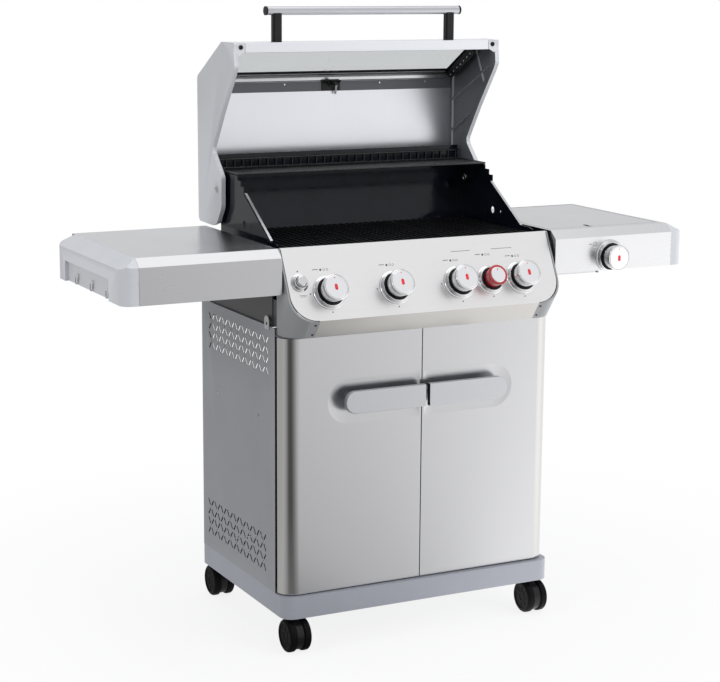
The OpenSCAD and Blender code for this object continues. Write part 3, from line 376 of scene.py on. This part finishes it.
# the side panels' front-facing faces take the dark paint: painted shade in the gap beside the doors
for side in ("left", "right"):
    refine(side + "_side_panel", 0.0005, ["side_paint", "dark_paint"], lambda c, n: 1 if n.y < -0.5 else 0, 2)
refine("back_panel", 0.0006, segments=2)
refine("front_rail", 0.0005, segments=2)
refine("support_brackets", 0.0008, ["dark_paint", "zinc"],
       lambda c, n: 1 if 0.3385 < abs(c.x) < 0.345 and 0.7 < c.z < 0.745 else 0)

# ---------------------------------------------------------------- doors
door_lo, door_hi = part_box("door_right")
FRONT = door_lo.y / MM
HINGE_X, HINGE_R = 299.0, 37.0
Z0, Z1 = door_lo.z / MM, door_hi.z / MM
X0 = door_lo.x / MM
SHEET = 1.2
RETURN = 18.0   # depth of the folded return along the meeting edge
PIN_R = 3.05
BLOCK = 14.0    # height of a hinge block
CUP_Z, CUP_R, CUP_X0, CUP_X1 = 554.0, 47.0, 8.0, 229.0


def stadium_ring(inset, steps=24):
    """Outline of the pressed recess, moved inwards, from its square inner end round the round end."""
    r = CUP_R - inset
    cx = CUP_X1 - CUP_R
    x_in = CUP_X0 + inset * 0.7
    pts = [(x_in + (cx - x_in) * i / 10, CUP_Z - r) for i in range(10)]
    pts += [(cx + r * math.cos(a), CUP_Z + r * math.sin(a))
            for a in (math.radians(-90 + 180 * i / steps) for i in range(steps + 1))]
    pts += [(x_in + (cx - x_in) * i / 10, CUP_Z + r) for i in range(9, -1, -1)]
    pts += [(x_in, CUP_Z + r - 2 * r * i / 8) for i in range(1, 8)]
    return pts


def door(sign, name):
    """One door: pressed and wrapped skin, folded returns, hinge blocks."""
    node = "door_" + name
    bm = bmesh.new()
    # depth of the scoop against the distance from its rim
    levels = [(-3.5, 0.0), (-1.6, 0.12), (0.4, 0.38), (4, 0.66), (10, 1.1), (18, 1.7), (26, 2.3), (33, 2.75),
              (38, 2.9)]

    def v(x, y, z):
        return bm.verts.new(Vector((sign * x, y, z)) * MM)

    rings = [[v(x, FRONT + d, z) for x, z in stadium_ring(t)] for t, d in levels]
    n = len(rings[0])
    for a, b in zip(rings, rings[1:]):
        for i in range(n):
            bm.faces.new([a[i], a[(i + 1) % n], b[(i + 1) % n], b[i]])
    bm.faces.new(rings[-1])
    # flat skin round the recess, out to the door's edges
    centre = Vector((118.0, CUP_Z))
    outer_pts = []
    for x, z in stadium_ring(levels[0][0]):
        d = Vector((x, z)) - centre
        k = min(((HINGE_X if d.x > 0 else X0) - centre.x) / d.x if abs(d.x) > 1e-6 else 1e9,
                ((Z1 if d.y > 0 else Z0) - centre.y) / d.y if abs(d.y) > 1e-6 else 1e9)
        outer_pts.append(centre + d * k)
    # the nearest outer point to each door corner moves onto it
    for corner in ((X0, Z0), (HINGE_X, Z0), (HINGE_X, Z1), (X0, Z1)):
        k = min(range(n), key=lambda i: (outer_pts[i] - Vector(corner)).length)
        outer_pts[k] = Vector(corner)
    outer = [v(p.x, FRONT, p.y) for p in outer_pts]
    for i in range(n):
        j = (i + 1) % n
        bm.faces.new([rings[0][i], rings[0][j], outer[j], outer[i]])
    # wrapped outer edge, in a slightly darker, glossier copy of the door steel; the darker colour is painted
    # shade on the wrap
    side = sorted([o for o, p in zip(outer, outer_pts) if abs(p.x - HINGE_X) < 1e-3], key=lambda o: o.co.z)
    last, hinge_y = side, FRONT + HINGE_R
    for k in range(1, 25):
        a = math.radians(-90 + 90 * k / 24)
        edge_x, edge_y = HINGE_X + HINGE_R * math.cos(a), hinge_y + HINGE_R * math.sin(a)
        ring = [v(edge_x, edge_y, o.co.z / MM) for o in side]
        for i in range(len(ring) - 1):
            f = bm.faces.new([last[i], last[i + 1], ring[i + 1], ring[i]])
            f.material_index = 1
        last = ring
    bmesh.ops.recalc_face_normals(bm, faces=bm.faces)
    if sum(f.normal.y * f.calc_area() for f in bm.faces) > 0:
        bmesh.ops.reverse_faces(bm, faces=bm.faces)
    # sheet thickness
    bmesh.ops.solidify(bm, geom=list(bm.faces), thickness=SHEET * MM)
    # folded returns
    back = FRONT + RETURN
    fold = [(X0, FRONT + 0.7), (X0, back), (X0 + 12, back), (X0 + 12, back - SHEET),
            (X0 + SHEET, back - SHEET), (X0 + SHEET, FRONT + 0.7)]
    prism(bm, [(sign * x, y, Z0) for x, y in fold], (0, 0, Z1 - Z0))
    arc = [(HINGE_X + (HINGE_R - 0.6) * math.cos(a), hinge_y + (HINGE_R - 0.6) * math.sin(a))
           for a in (math.radians(-90 + 90 * k / 16) for k in range(17))]
    cap = [(X0 + 0.6, FRONT + 0.7)] + arc + [(HINGE_X, hinge_y), (HINGE_X, back), (X0 + 0.6, back)]
    for z in (Z0, Z1 - SHEET):
        prism(bm, [(sign * x, y, z) for x, y in cap], (0, 0, SHEET))
    # hinge blocks, pierced for the pins
    for z in (Z0, Z1 - BLOCK):
        at = Matrix.Translation(Vector((sign * HINGE_X, hinge_y, z)) * MM)
        lathe(bm, [(PIN_R, 0), (8, 0), (8, BLOCK), (PIN_R, BLOCK), (PIN_R, 0)], at, 32, [2, 2, 2, 2])
        web = [(-6, FRONT + 1.0), (6, FRONT + 1.6), (6, hinge_y - 5.2), (-6, hinge_y - 5.2)]
        prism(bm, [(sign * (HINGE_X + x), y, z + 0.4) for x, y in web], (0, 0, BLOCK - 0.8), 2)
    stand_in(node, bm, ["stainless", "door_edge", "zinc"], 0.0004, 2, 40, 30)


door(-1, "left")
door(1, "right")

for name, sign in (("left", -1), ("right", 1)):
    # the square ends that face each other are dark
    refine("door_handle_" + name, 0.0022, ["handle_steel", "seal"],
           lambda c, n: 1 if n.x * sign < -0.9 and abs(c.x) < 0.006 else 0, 4)

# ---------------------------------------------------------------- firebox and cooking parts
def firebox_pick(c, n):
    """The bare steel strip along the sloping front edge of each side."""
    strip = 0.3118 < abs(c.x) < 0.3182 and -0.107 < c.y < 0.038 and 0.893 < c.z < 0.99
    return 1 if strip and abs(n.x) < 0.5 and n.y < -0.2 and n.z > 0.1 else 0


refine("firebox", 0.0006, ["enamel", "stainless"], firebox_pick, 2)
refine("heat_tamers", 0.0004, segments=2)
refine("cooking_grates", 0.0011, segments=3)
refine("warming_rack", 0.0003, segments=2)
refine("grease_tray", 0.0005, segments=2)
refine("grease_cup", 0.0005, segments=2)
refine("burners", 0.0006, segments=2)

# ---------------------------------------------------------------- control panel
# the panel's down-facing lip faces get the darker lip steel: painted shade
refine("control_panel", 0.0009, ["panel_steel", "lip_steel"],
       lambda c, n: 1 if n.z < -0.3 and n.y < -0.3 else 0)
refine("panel_end_caps", 0.0022, ["cap_paint"], None, 4)

KNOB_PITCH = 159.0
KNOB_S = 106.0                          # from the panel's top edge down its slope
KNOBS = {"burner_knob_%d" % (k + 1): (k - 1.5) * KNOB_PITCH for k in range(4)}
SEAR = on_panel(KNOB_PITCH, KNOB_S)
SIDE = on_fascia(487.0, 831.0)
IGNITER = on_panel(-302.0, 80.0)
BEZEL_R, SEAR_BEZEL_R = 38.0, 33.0
FACE = 40.0                             # height of a knob's face over the panel
STEM_BORE, BEZEL_BORE = 4.05, 4.98


def big_knob(node, at):
    """A plated knob with a wider rim, a brushed face and a red mark."""
    bm = bmesh.new()
    profile = [(STEM_BORE, 32.0), (STEM_BORE, 12.6), (8.4, 12.2), (24.8, 12.2), (26.2, 12.6), (26.9, 13.6),
               (27.6, 22), (28.0, 30.4), (28.2, 32.0), (28.9, 32.5), (29.2, 33.3), (29.4, 34.4), (29.4, 37.4),
               (29.1, 38.4), (28.2, 39.25), (27.2, 39.7), (25.6, 39.3), (25.0, 39.5), (24.4, FACE), (0, FACE)]
    mats = [0] * (len(profile) - 1)
    mats[-1] = mats[-2] = 1
    lathe(bm, profile, at, 96, mats)
    up = at @ Matrix.Translation((0, 0, FACE * MM))
    plate(bm, up, capsule(7.0, 14.0, 0, 0.0), 0.22, 2)
    plate(bm, up, capsule(2.0, 3.0, 0, 20.5), 0.2, 2)
    stand_in(node, bm, ["chrome", "knob_face", "red_print"], smooth=24)


for node, x in KNOBS.items():
    big_knob(node, on_panel(x, KNOB_S))
big_knob("side_knob", SIDE)

# the smaller red knob
SEAR_FACE = 39.6
bm = bmesh.new()
profile = [(STEM_BORE, 32.0), (STEM_BORE, 12.5), (19.8, 12.2), (20.9, 12.8), (21.3, 14), (21.8, 24),
           (22.6, 32), (23.3, 35.2), (23.3, 36.8), (22.6, 38.2), (21.0, 38.9), (19.2, 39.0), (18.4, 38.7),
           (18.0, 38.6), (17.6, 39.2), (17.0, SEAR_FACE), (0, SEAR_FACE)]
mats = [0] * (len(profile) - 1)
mats[-1] = mats[-2] = mats[-3] = 1
lathe(bm, profile, SEAR, 96, mats)
plate(bm, on_panel(KNOB_PITCH, KNOB_S, SEAR_FACE), capsule(1.6, 5.0, 0, 11.5), 0.2, 0)
stand_in("sear_knob", bm, ["red_plastic", "knob_face"], smooth=24)


def bezel(bm, at, r):
    """A flange with a bright step ring and a black groove round the knob."""
    profile = [(BEZEL_BORE, 0.15), (r, 0.15), (r, 1.0), (r - 0.5, 2.0), (r - 1.6, 2.7), (r - 2.9, 3.1),
               (r - 3.4, 3.9), (r - 3.6, 8.4), (r - 4.2, 9.7), (r - 5.3, 10.5), (r - 6.6, 10.6),
               (r - 7.3, 10.2), (r - 7.6, 9.2), (r - 8.8, 9.0), (r - 9.6, 8.0), (BEZEL_BORE, 8.0),
               (BEZEL_BORE, 0.15)]
    mats = [0] * 12 + [1] * 3 + [0]
    lathe(bm, profile, at, 96, mats)


bm = bmesh.new()
for x in KNOBS.values():
    bezel(bm, on_panel(x, KNOB_S), BEZEL_R)
bezel(bm, SEAR, SEAR_BEZEL_R)
bezel(bm, SIDE, BEZEL_R)
lathe(bm, [(12.4, 0.15), (20, 0.15), (20, 1.2), (19.2, 2.2), (17.9, 2.8), (17.2, 4.0), (16.2, 8.4),
           (15.2, 9.6), (14.0, 10.0), (12.9, 9.8), (12.4, 9.0), (12.4, 0.15)], IGNITER, 80)
stand_in("knob_bezels", bm, ["chrome", "seal"], smooth=24)
bm = bmesh.new()
lathe(bm, [(0, -12), (8.6, -12), (9, -11.5), (9, 3.4), (11.4, 3.4), (11.8, 3.9), (11.8, 14.4), (11.5, 15.6),
           (10.6, 16.6), (9.0, 17.2), (8.2, 17.0), (6.0, 16.7), (0, 16.6)], IGNITER, 80)
stand_in("igniter_button", bm, ["chrome"], smooth=28)

# printed marks: position dots beside each knob, small symbols above it, and lines over the right three
bm = bmesh.new()


def dot(at, x, y, r):
    plate(bm, at, [(x + r * math.cos(math.pi * i / 8), y + r * math.sin(math.pi * i / 8)) for i in range(16)])


def ring(at, x, y, r, w):
    for k in range(16):
        a, b = math.pi * k / 8, math.pi * (k + 1) / 8
        corners = ((r, a), (r + w, a), (r + w, b), (r, b))
        plate(bm, at, [(x + far * math.cos(t), y + far * math.sin(t)) for far, t in corners])


for i, x in enumerate([*KNOBS.values(), KNOB_PITCH]):
    at = on_panel(x, KNOB_S)
    r = BEZEL_R + 5.5 if i < 4 else SEAR_BEZEL_R + 5.0
    dot(at, -r, 0.0, 1.5)
    dot(at, 0.0, -r, 1.5)
    y = 52.0 if i < 4 else 60.0
    left = -22.0 if i < 4 else -18.0
    plate(bm, at, capsule(13, 1.3, left, y + 1.2))
    dot(at, left + 12.5, y, 2.4)
    ring(at, left + 20.5, y, 2.0, 0.6)
    ring(at, left + 28.0, y, 2.0, 0.6)
dot(IGNITER, 0, 26.0, 1.6)
plate(bm, IGNITER, capsule(18, 0.8, 2, -28))
plate(bm, IGNITER, capsule(13, 0.8, 3, -31))
for a, b in ((76.0, 124.0), (178.0, 232.0)):
    plate(bm, on_panel((a + b) / 2, 34.0), capsule(b - a, 0.9))
ring(SIDE, -40.0, 30.0, 4.0, 0.8)
plate(bm, SIDE, capsule(9, 1.1, -53.0, 30.0))
finish_mesh("panel_marks", bm, ["black_print"], "cart")

# painted shadow: a thin black strip along the gap between the face and its end caps, standing in for the
# shade in the gap
HALF, CORNER, DEEP, SEAM = 330.3, 57.5, 166.6, 0.9
bm = bmesh.new()
for s in (-1, 1):
    path = [(HALF, -4.0), (HALF, -(DEEP - CORNER))]
    path += [(HALF - CORNER + CORNER * math.cos(a), -(DEEP - CORNER) - CORNER * math.sin(a))
             for a in (math.radians(90 * k / 14) for k in range(1, 15))]
    for (xa, ya), (xb, yb) in zip(path, path[1:]):
        d = Vector((xb - xa, yb - ya)).normalized()
        w = Vector((-d.y, d.x)) * SEAM / 2
        quad = [(xa + w.x, ya + w.y), (xb + w.x, yb + w.y), (xb - w.x, yb - w.y), (xa - w.x, ya - w.y)]
        plate(bm, on_panel(0, 0), [(s * x, y) for x, y in quad], 0.25)
finish_mesh("face_seam", bm, ["seal"], "cart")

# small dark screws that hold the end caps to the strip between the panel's bend and its lip
bm = bmesh.new()
BEND, LIP = Vector((0, -257.8, 745.2)), Vector((0, -228.0, 704.0))
STRIP_OUT = Vector((0, -0.81, -0.586))
SCREW = [(0, -0.6), (2.6, -0.6), (2.7, 0.4), (2.2, 0.8), (1.3, 0.9), (1.2, 0.3), (0, 0.3)]
for s in (-1, 1):
    for t in (0.25, 0.8):
        lathe(bm, SCREW, place(BEND.lerp(LIP, t) + Vector((s * 279.5, 0, 0)), STRIP_OUT), 24)
finish_mesh("cap_screws", bm, ["black_plastic"], "cart")

# ---------------------------------------------------------------- shelves
refine("left_shelf", 0.0012)
# the right shelf's front face gets the brighter fascia steel: painted light from the right
refine("right_shelf", 0.0012, ["shelf_steel", "fascia_steel"], lambda c, n: 1 if n.y < -0.5 else 0)
refine("shelf_end_caps", 0.0026, None, None, 4)
refine("side_burner_lid", 0.0005, segments=2)
refine("side_burner", 0.0006, segments=2)
refine("side_burner_grate", 0.0008, segments=2)
refine("side_burner_bowl", 0.0006, segments=2)
refine("utensil_hooks", 0.0002, ["chrome"], None, 2)
# dark insert at the pull of the side burner's lid
bm = bmesh.new()
plate(bm, Matrix.Translation(Vector((464, -150, 895.05)) * MM), capsule(7, 18, 0, 2), 0.5)
finish_mesh("lid_pull_insert", bm, ["seal"], "burner_lid")

# ---------------------------------------------------------------- lid
def cheek_pick(c, n):
    """Painted shade: darker paint on the cheeks' inner faces, where they fall in shade; chosen from a face's
    middle c and its normal n.
    """
    inward = -1 if c.x > 0 else 1
    return 1 if n.x * inward > 0.7 and abs(c.x) < 0.3325 else 0


refine("lid_cheeks", 0.0024, ["light_paint", "inner_paint"], cheek_pick, 4)
refine("lid_back_panel", 0.0005, segments=2)
refine("lid_front_rail", 0.0005, segments=2)
refine("lid_handle", 0.0006, segments=2)
refine("lid_handle_mounts", 0.0018, segments=3)


def islands_of(bm):
    """The mesh's separate shells, each a list of faces."""
    islands, met = [], set()
    for start in bm.faces:
        if start in met:
            continue
        stack, group = [start], []
        met.add(start)
        while stack:
            face = stack.pop()
            group.append(face)
            for near in (f for e in face.edges for f in e.link_faces if f not in met):
                met.add(near)
                stack.append(near)
        islands.append(group)
    return islands


def part_of(groups):
    """A new mesh of the faces in some shells."""
    bm = bmesh.new()
    verts = {}
    for face in (f for g in groups for f in g):
        for w in face.verts:
            if w not in verts:
                verts[w] = bm.verts.new(w.co)
        bm.faces.new([verts[w] for w in face.verts])
    return bm


def extent(group):
    xs = [w.co.x for f in group for w in f.verts]
    return max(xs) - min(xs)


# the glass and its wider frame are two solids of one node
FRAME_MIN = 0.6325
src = cad_bmesh("lid_window")
shells = islands_of(src)
glass_mesh = part_of([g for g in shells if extent(g) < FRAME_MIN])
frame_mesh = part_of([g for g in shells if extent(g) >= FRAME_MIN])
src.free()
finish_mesh("look_lid_glass", glass_mesh, ["window_glass"], "lid", ["lid_window"], 0.0006, 2)
finish_mesh("look_lid_window_frame", frame_mesh, ["black_plastic"], "lid", [], 0.0008, 2)

# inner strips under the window, side gaskets and their screws
bm = bmesh.new()
WINDOW_TOP = (118.0, 1314.5)
DOWN, INTO = Vector((0, 0.8662, -0.4997)), Vector((0, -0.4997, -0.8662))
LID_HALF = 325
SCREW_HEAD = [(0, 0.0), (2.6, 0.0), (2.7, 0.8), (2.0, 1.5), (0, 1.7)]
RIVET = [(0, -0.5), (2.0, -0.5), (2.1, 0.6), (1.5, 1.2), (0, 1.3)]


def under_glass(x, s, h):
    """A point s down the window's slope and h below its outer face."""
    return tuple(Vector((x, *WINDOW_TOP)) + DOWN * s + INTO * h)


def bar(bm, x0, x1, outline, mat=0):
    """A (y, z) outline carried from x0 to x1."""
    prism(bm, [(x0, y, z) for y, z in outline], (x1 - x0, 0, 0), mat)


ledge = [(147, 9.1), (161.2, 9.1), (161.2, 10.1), (147, 10.1)]
prism(bm, [under_glass(-306, s, h) for s, h in ledge], (612, 0, 0))
bar(bm, -LID_HALF, LID_HALF, [(254.2, 1214.6), (255.8, 1214.6), (255.8, 1222.6), (252.2, 1224.8),
                              (250.6, 1223.6), (252.0, 1216.4)])
bar(bm, -LID_HALF, LID_HALF, [(254.4, 1191), (255.8, 1191), (255.8, 1214), (254.4, 1214)], 1)
gasket = [(14, 9.1), (158, 9.1), (158, 15), (140, 33), (20, 33), (14, 26)]
for side in (-1, 1):
    x = side * 309
    prism(bm, [under_glass(x, s, h) for s, h in gasket], (side * 2.0, 0, 0), 3)
    for k in range(7):
        lathe(bm, RIVET, place(under_glass(x, 30 + 18 * k, 24), (-side, 0, 0), (0, 1, 0)), 16, [2] * 4)
for x in (-250, -120, 130, 255):
    lathe(bm, SCREW_HEAD, place((x, 254.4, 1208), (0, -1, 0)), 20, [2] * 4)
finish_mesh("lid_inner_strips", bm, ["stainless", "inner_paint", "chrome", "seal"], "lid",
            [], 0.0003, 2)

# the thermometer's bracket, nut and probe clip inside the lid
bm = bmesh.new()
bar(bm, -24, 24, [(254.3, 1192), (252.6, 1192), (252.6, 1209), (246.0, 1214.5), (246.0, 1216.2),
                  (254.3, 1210)])
lathe(bm, [(0, -2), (4.2, -2), (4.4, 0), (4.4, 22), (7.8, 22.2), (8.0, 28), (0, 28)],
      place((0, 226, 1209), (0, 1, 0)), 6)
bar(bm, 8, 13, [(251, 1184), (249.6, 1184), (243, 1206), (244.6, 1206)], 1)
finish_mesh("thermometer_stem", bm, ["seal", "zinc"], "lid", [], 0.0003, 2)

# cap screws in the cheeks' tabs
bm = bmesh.new()
for s in (-1, 1):
    at = place((s * 319, 48.3, 1304.5), (0, -1, 0))
    rings = lathe(bm, [(0, -3.0), (5.2, -3.0), (5.2, 1.2), (4.9, 2.0), (4.2, 2.4), (2.6, 2.4)], at, 36)
    inner = [bm.verts.new(at @ Vector((2.5 * MM * math.cos(a), 2.5 * MM * math.sin(a), 0.2 * MM)))
             for a in (2 * math.pi * i / 36 for i in range(36))]
    top = rings[-1]
    for i in range(36):
        bm.faces.new([top[i], top[(i + 1) % 36], inner[(i + 1) % 36], inner[i]])
    bm.faces.new(inner)
finish_mesh("tab_screws", bm, ["black_plastic"], "lid", smooth=30)

# thermometer on the outside of the lid
bm = bmesh.new()
at = place((0, 257.6, 1212), (0, 1, 0), (-1, 0, 0))
DIAL = 17.0     # height of the dial inside its rim
TICK_R = 23.5
TICKS, SWEEP = 26, 270
lathe(bm, [(0, 0.2), (24, 0.2), (26, 1.2), (27.2, 4.0), (28.4, 5.4), (29.6, 6.6), (30.0, 8.4), (30.0, 16.4),
           (29.6, 18.2), (28.6, 19.6), (27.4, 20.2), (26.6, 19.8), (26.3, 18.8), (26.2, DIAL), (0, DIAL)],
      at, 96, [0] * 13 + [1])
ticks = at @ Matrix.Translation((0, 0, DIAL * MM))
for k in range(TICKS + 1):
    a = math.radians(225 - SWEEP * k / TICKS)
    length, w = (4.6, 0.42) if k % 5 == 0 else (2.4, 0.25)
    along, across = Vector((math.cos(a), math.sin(a))), Vector((-math.sin(a), math.cos(a))) * w
    far, near = along * TICK_R, along * (TICK_R - length)
    plate(bm, ticks, [far + across, far - across, near - across, near + across], 0.12, 2)
needle = [(17, 205), (1.3, 295), (-5, 205), (1.3, 115)]
plate(bm, ticks, [(r * math.cos(math.radians(a)), r * math.sin(math.radians(a))) for r, a in needle], 0.5, 3)
lathe(bm, [(0, 17.1), (2.6, 17.1), (2.6, 18.0), (2.0, 18.5), (0, 18.6)], at, 24, [2] * 4)
stand_in("thermometer", bm, ["chrome", "dial_face", "black_print", "red_print"], smooth=28)

# lid pivots: bolt, plated domed head outside, nut inside
bm = bmesh.new()
for s in (-1, 1):
    at = place((s * 336.2, 152, 983), (s, 0, 0), (0, 1, 0))
    lathe(bm, [(0, -27), (5, -27), (5, 0.3), (9.0, 0.3), (9.0, 0.9), (8.2, 1.3), (5.9, 1.4), (5.8, 2.0),
               (5.0, 2.9), (3.0, 3.4), (0, 3.5)], at, 48)
    lathe(bm, [(5.0, -27.8), (8.6, -27.8), (9.0, -27.2), (9.0, -24.6), (8.6, -24.4), (5.0, -24.4),
               (5.0, -27.8)], at, 6)
stand_in("lid_hinge_bolts", bm, ["chrome"], 0.0002, 2)

# ---------------------------------------------------------------- casters
# half of a twin wheel as (distance along the axle, radius)
WHEEL = [(9.2, 0), (9.2, 24), (8.8, 25.6), (8.6, 28), (8.6, 34.6), (9.4, 36.0), (11.0, 36.9), (12.6, 37.0),
         (18.6, 37.0), (21.4, 36.6), (23.6, 35.2), (25.2, 33.0), (26.0, 30.6), (26.0, 28.4), (25.4, 27.2),
         (24.4, 26.6), (24.0, 25.4), (24.0, 13.5), (24.6, 12.4), (24.6, 9.5), (23.6, 8.6), (23.2, 0)]
WEBS = 8
for corner in ("front_left", "front_right", "back_left", "back_right"):
    node = "caster_wheels_" + corner
    lo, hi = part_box(node)
    c = (lo + hi) / 2 / MM
    bm = bmesh.new()
    for s in (-1, 1):
        lathe(bm, [(r, x) for x, r in WHEEL], place(c, (s, 0, 0), (0, 1, 0)), 80)
    lathe(bm, [(0, -9.6), (3.75, -9.6), (3.75, 9.6), (0, 9.6)], place(c, (1, 0, 0), (0, 1, 0)), 24)
    # spokes on the wheels' faces
    for s in (-1, 1):
        for k in range(WEBS):
            a = 2 * math.pi * k / WEBS
            out = Vector((0, math.cos(a), math.sin(a)))
            wide = Vector((0, -math.sin(a), math.cos(a))) * 0.9
            base = c + Vector((s * 23.2, 0, 0))
            foot, tip = base + out * 12.8, base + out * 24.6
            prism(bm, [foot - wide, foot + wide, tip + wide, tip - wide], (s * 1.5, 0, 0))
    stand_in(node, bm, ["wheel_plastic"], smooth=32)
    refine("caster_hood_" + corner, 0.0014, None, None, 3)

# ---------------------------------------------------------------- carried-over CAD nodes
for node in frame["nodes"].values():
    if not node.hide_render:
        node.data.materials.clear()
        node.data.materials.append(M[SLOT[node.name]])

# ---------------------------------------------------------------- floor, light, camera
bm = bmesh.new()
bmesh.ops.create_grid(bm, x_segments=60, y_segments=60, size=30)
me = bpy.data.meshes.new("floor")
bm.to_mesh(me)
bm.free()
floor = bpy.data.objects.new("floor", me)
floor.location.z = -0.0002
bpy.context.scene.collection.objects.link(floor)
floor_mat, nodes, links, bsdf = new_material("floor_pale")
mottle = noise(nodes, links, coords(nodes, links, (1, 1, 1)), 2.0, 3.0, 0.5)
links.new(tint(nodes, links, mottle, (0.86, 0.86, 0.865), (0.88, 0.88, 0.88)), bsdf.inputs["Base Color"])
bsdf.inputs["Roughness"].default_value = 0.75
bsdf.inputs["Specular IOR Level"].default_value = 0.1
# the floor brightens into the backdrop a little way out from the grill
glow = nodes.new("ShaderNodeEmission")
glow.inputs["Color"].default_value = (1, 1, 1, 1)
light_path = nodes.new("ShaderNodeLightPath")
# seen directly the floor is plain white, and what it throws on the grill is dimmer at the front left
split = nodes.new("ShaderNodeSeparateXYZ")
links.new(coords(nodes, links, (1, 1, 1)), split.inputs[0])
flip = nodes.new("ShaderNodeMath")
flip.operation = "MULTIPLY"
flip.inputs[1].default_value = -1.0
links.new(split.outputs["Y"], flip.inputs[0])
around = nodes.new("ShaderNodeMath")
around.operation = "ARCTAN2"
links.new(split.outputs["X"], around.inputs[0])
links.new(flip.outputs[0], around.inputs[1])
# bearing from straight ahead in degrees, positive to the right, and the floor's brightness there
GLOW = [(-180, 0.60), (-110, 0.55), (-78, 0.62), (-62, 0.40), (-50, 0.12), (-34, 0.10), (-16, 0.34),
        (2, 0.68), (14, 0.76), (20, 0.84), (30, 1.06), (38, 1.40), (60, 1.55), (90, 1.30), (180, 0.80)]
TOP_GLOW = 1.6
fall = nodes.new("ShaderNodeValToRGB")
for k, (bearing, bright) in enumerate(GLOW):
    at = (bearing + 180) / 360
    if k in (0, len(GLOW) - 1):
        e = fall.color_ramp.elements[-1 if k else 0]
    else:
        e = fall.color_ramp.elements.new(at)
    e.position = at
    e.color = (*[bright / TOP_GLOW] * 3, 1)
links.new(spread(nodes, links, around.outputs[0], 0.0, 1.0, -math.pi, math.pi), fall.inputs["Fac"])
gain = nodes.new("ShaderNodeMath")
gain.operation = "MULTIPLY"
gain.inputs[1].default_value = TOP_GLOW
links.new(fall.outputs["Color"], gain.inputs[0])
level = nodes.new("ShaderNodeMix")
links.new(light_path.outputs["Is Camera Ray"], level.inputs["Factor"])
links.new(gain.outputs[0], level.inputs["A"])
level.inputs["B"].default_value = 1.0
links.new(level.outputs["Result"], glow.inputs["Strength"])
reach = nodes.new("ShaderNodeVectorMath")
reach.operation = "LENGTH"
links.new(coords(nodes, links, (1, 1, 1)), reach.inputs[0])
blend = nodes.new("ShaderNodeMixShader")
links.new(spread(nodes, links, reach.outputs["Value"], 0.84, 1.0, 0.6, 1.5), blend.inputs["Fac"])
links.new(bsdf.outputs[0], blend.inputs[1])
links.new(glow.outputs[0], blend.inputs[2])
links.new(blend.outputs[0], nodes["Material Output"].inputs["Surface"])
me.materials.append(floor_mat)


def area(name, loc, target, size, power, color=(1, 1, 1)):
    light = bpy.data.lights.new(name, "AREA")
    light.shape, light.size, light.size_y = "RECTANGLE", size[0], size[1]
    light.energy, light.color = power, color
    ob = bpy.data.objects.new(name, light)
    ob.location = loc
    ob.rotation_euler = (Vector(target) - Vector(loc)).to_track_quat("-Z", "Y").to_euler()
    bpy.context.scene.collection.objects.link(ob)
    ob.visible_camera = False
    return ob


area("key", (2.8, -4.6, 3.6), (0, 0, 0.7), (3.2, 2.6), 100).visible_glossy = False
area("top", (0.4, 0.2, 4.4), (0, 0, 0.9), (3.6, 2.6), 22)
area("left_fill", (-4.2, -0.8, 1.9), (0, 0, 0.8), (2.6, 2.4), 60).visible_glossy = False
area("glint", (-1.3, -3.0, 2.9), (0, -0.2, 0.8), (0.5, 0.5), 2.2)

world = bpy.data.worlds.new("studio")
world.use_nodes = True
bpy.context.scene.world = world
wn, wl = world.node_tree.nodes, world.node_tree.links
# the room is pale all round but for a dim wall on the left
bg = wn["Background"]
direction = wn.new("ShaderNodeTexCoord")
dot_left = wn.new("ShaderNodeVectorMath")
dot_left.operation = "DOT_PRODUCT"
dot_left.inputs[1].default_value = (-0.98, 0.1, -0.1)
wl.new(direction.outputs["Generated"], dot_left.inputs[0])
PALE, DIM = (0.84, 0.845, 0.86), (0.21, 0.215, 0.225)
wl.new(tint(wn, wl, dot_left.outputs["Value"], PALE, DIM, 0.0, 0.7), bg.inputs["Color"])
bg.inputs["Strength"].default_value = 1.0
white = wn.new("ShaderNodeBackground")
white.inputs["Color"].default_value = (1, 1, 1, 1)
path = wn.new("ShaderNodeLightPath")
mix = wn.new("ShaderNodeMixShader")
wl.new(path.outputs["Is Camera Ray"], mix.inputs["Fac"])
wl.new(bg.outputs[0], mix.inputs[1])
wl.new(white.outputs[0], mix.inputs[2])
wl.new(mix.outputs[0], wn["World Output"].inputs["Surface"])
bpy.context.scene.view_settings.view_transform = "Standard"

cam = bpy.data.cameras.new("camera")
cam.lens, cam.sensor_width = 94.25, 36.0
cam.clip_end = 100
cam_ob = bpy.data.objects.new("camera", cam)
turns = [Matrix.Rotation(math.radians(a), 4, axis) for a, axis in ((-27, "Z"), (78.8, "X"), (0.4, "Z"))]
cam_ob.matrix_world = Matrix.Translation((-1.9711, -3.7769, 1.4769)) @ turns[0] @ turns[1] @ turns[2]
bpy.context.scene.collection.objects.link(cam_ob)
bpy.context.scene.camera = cam_ob

bpy.context.view_layer.update()
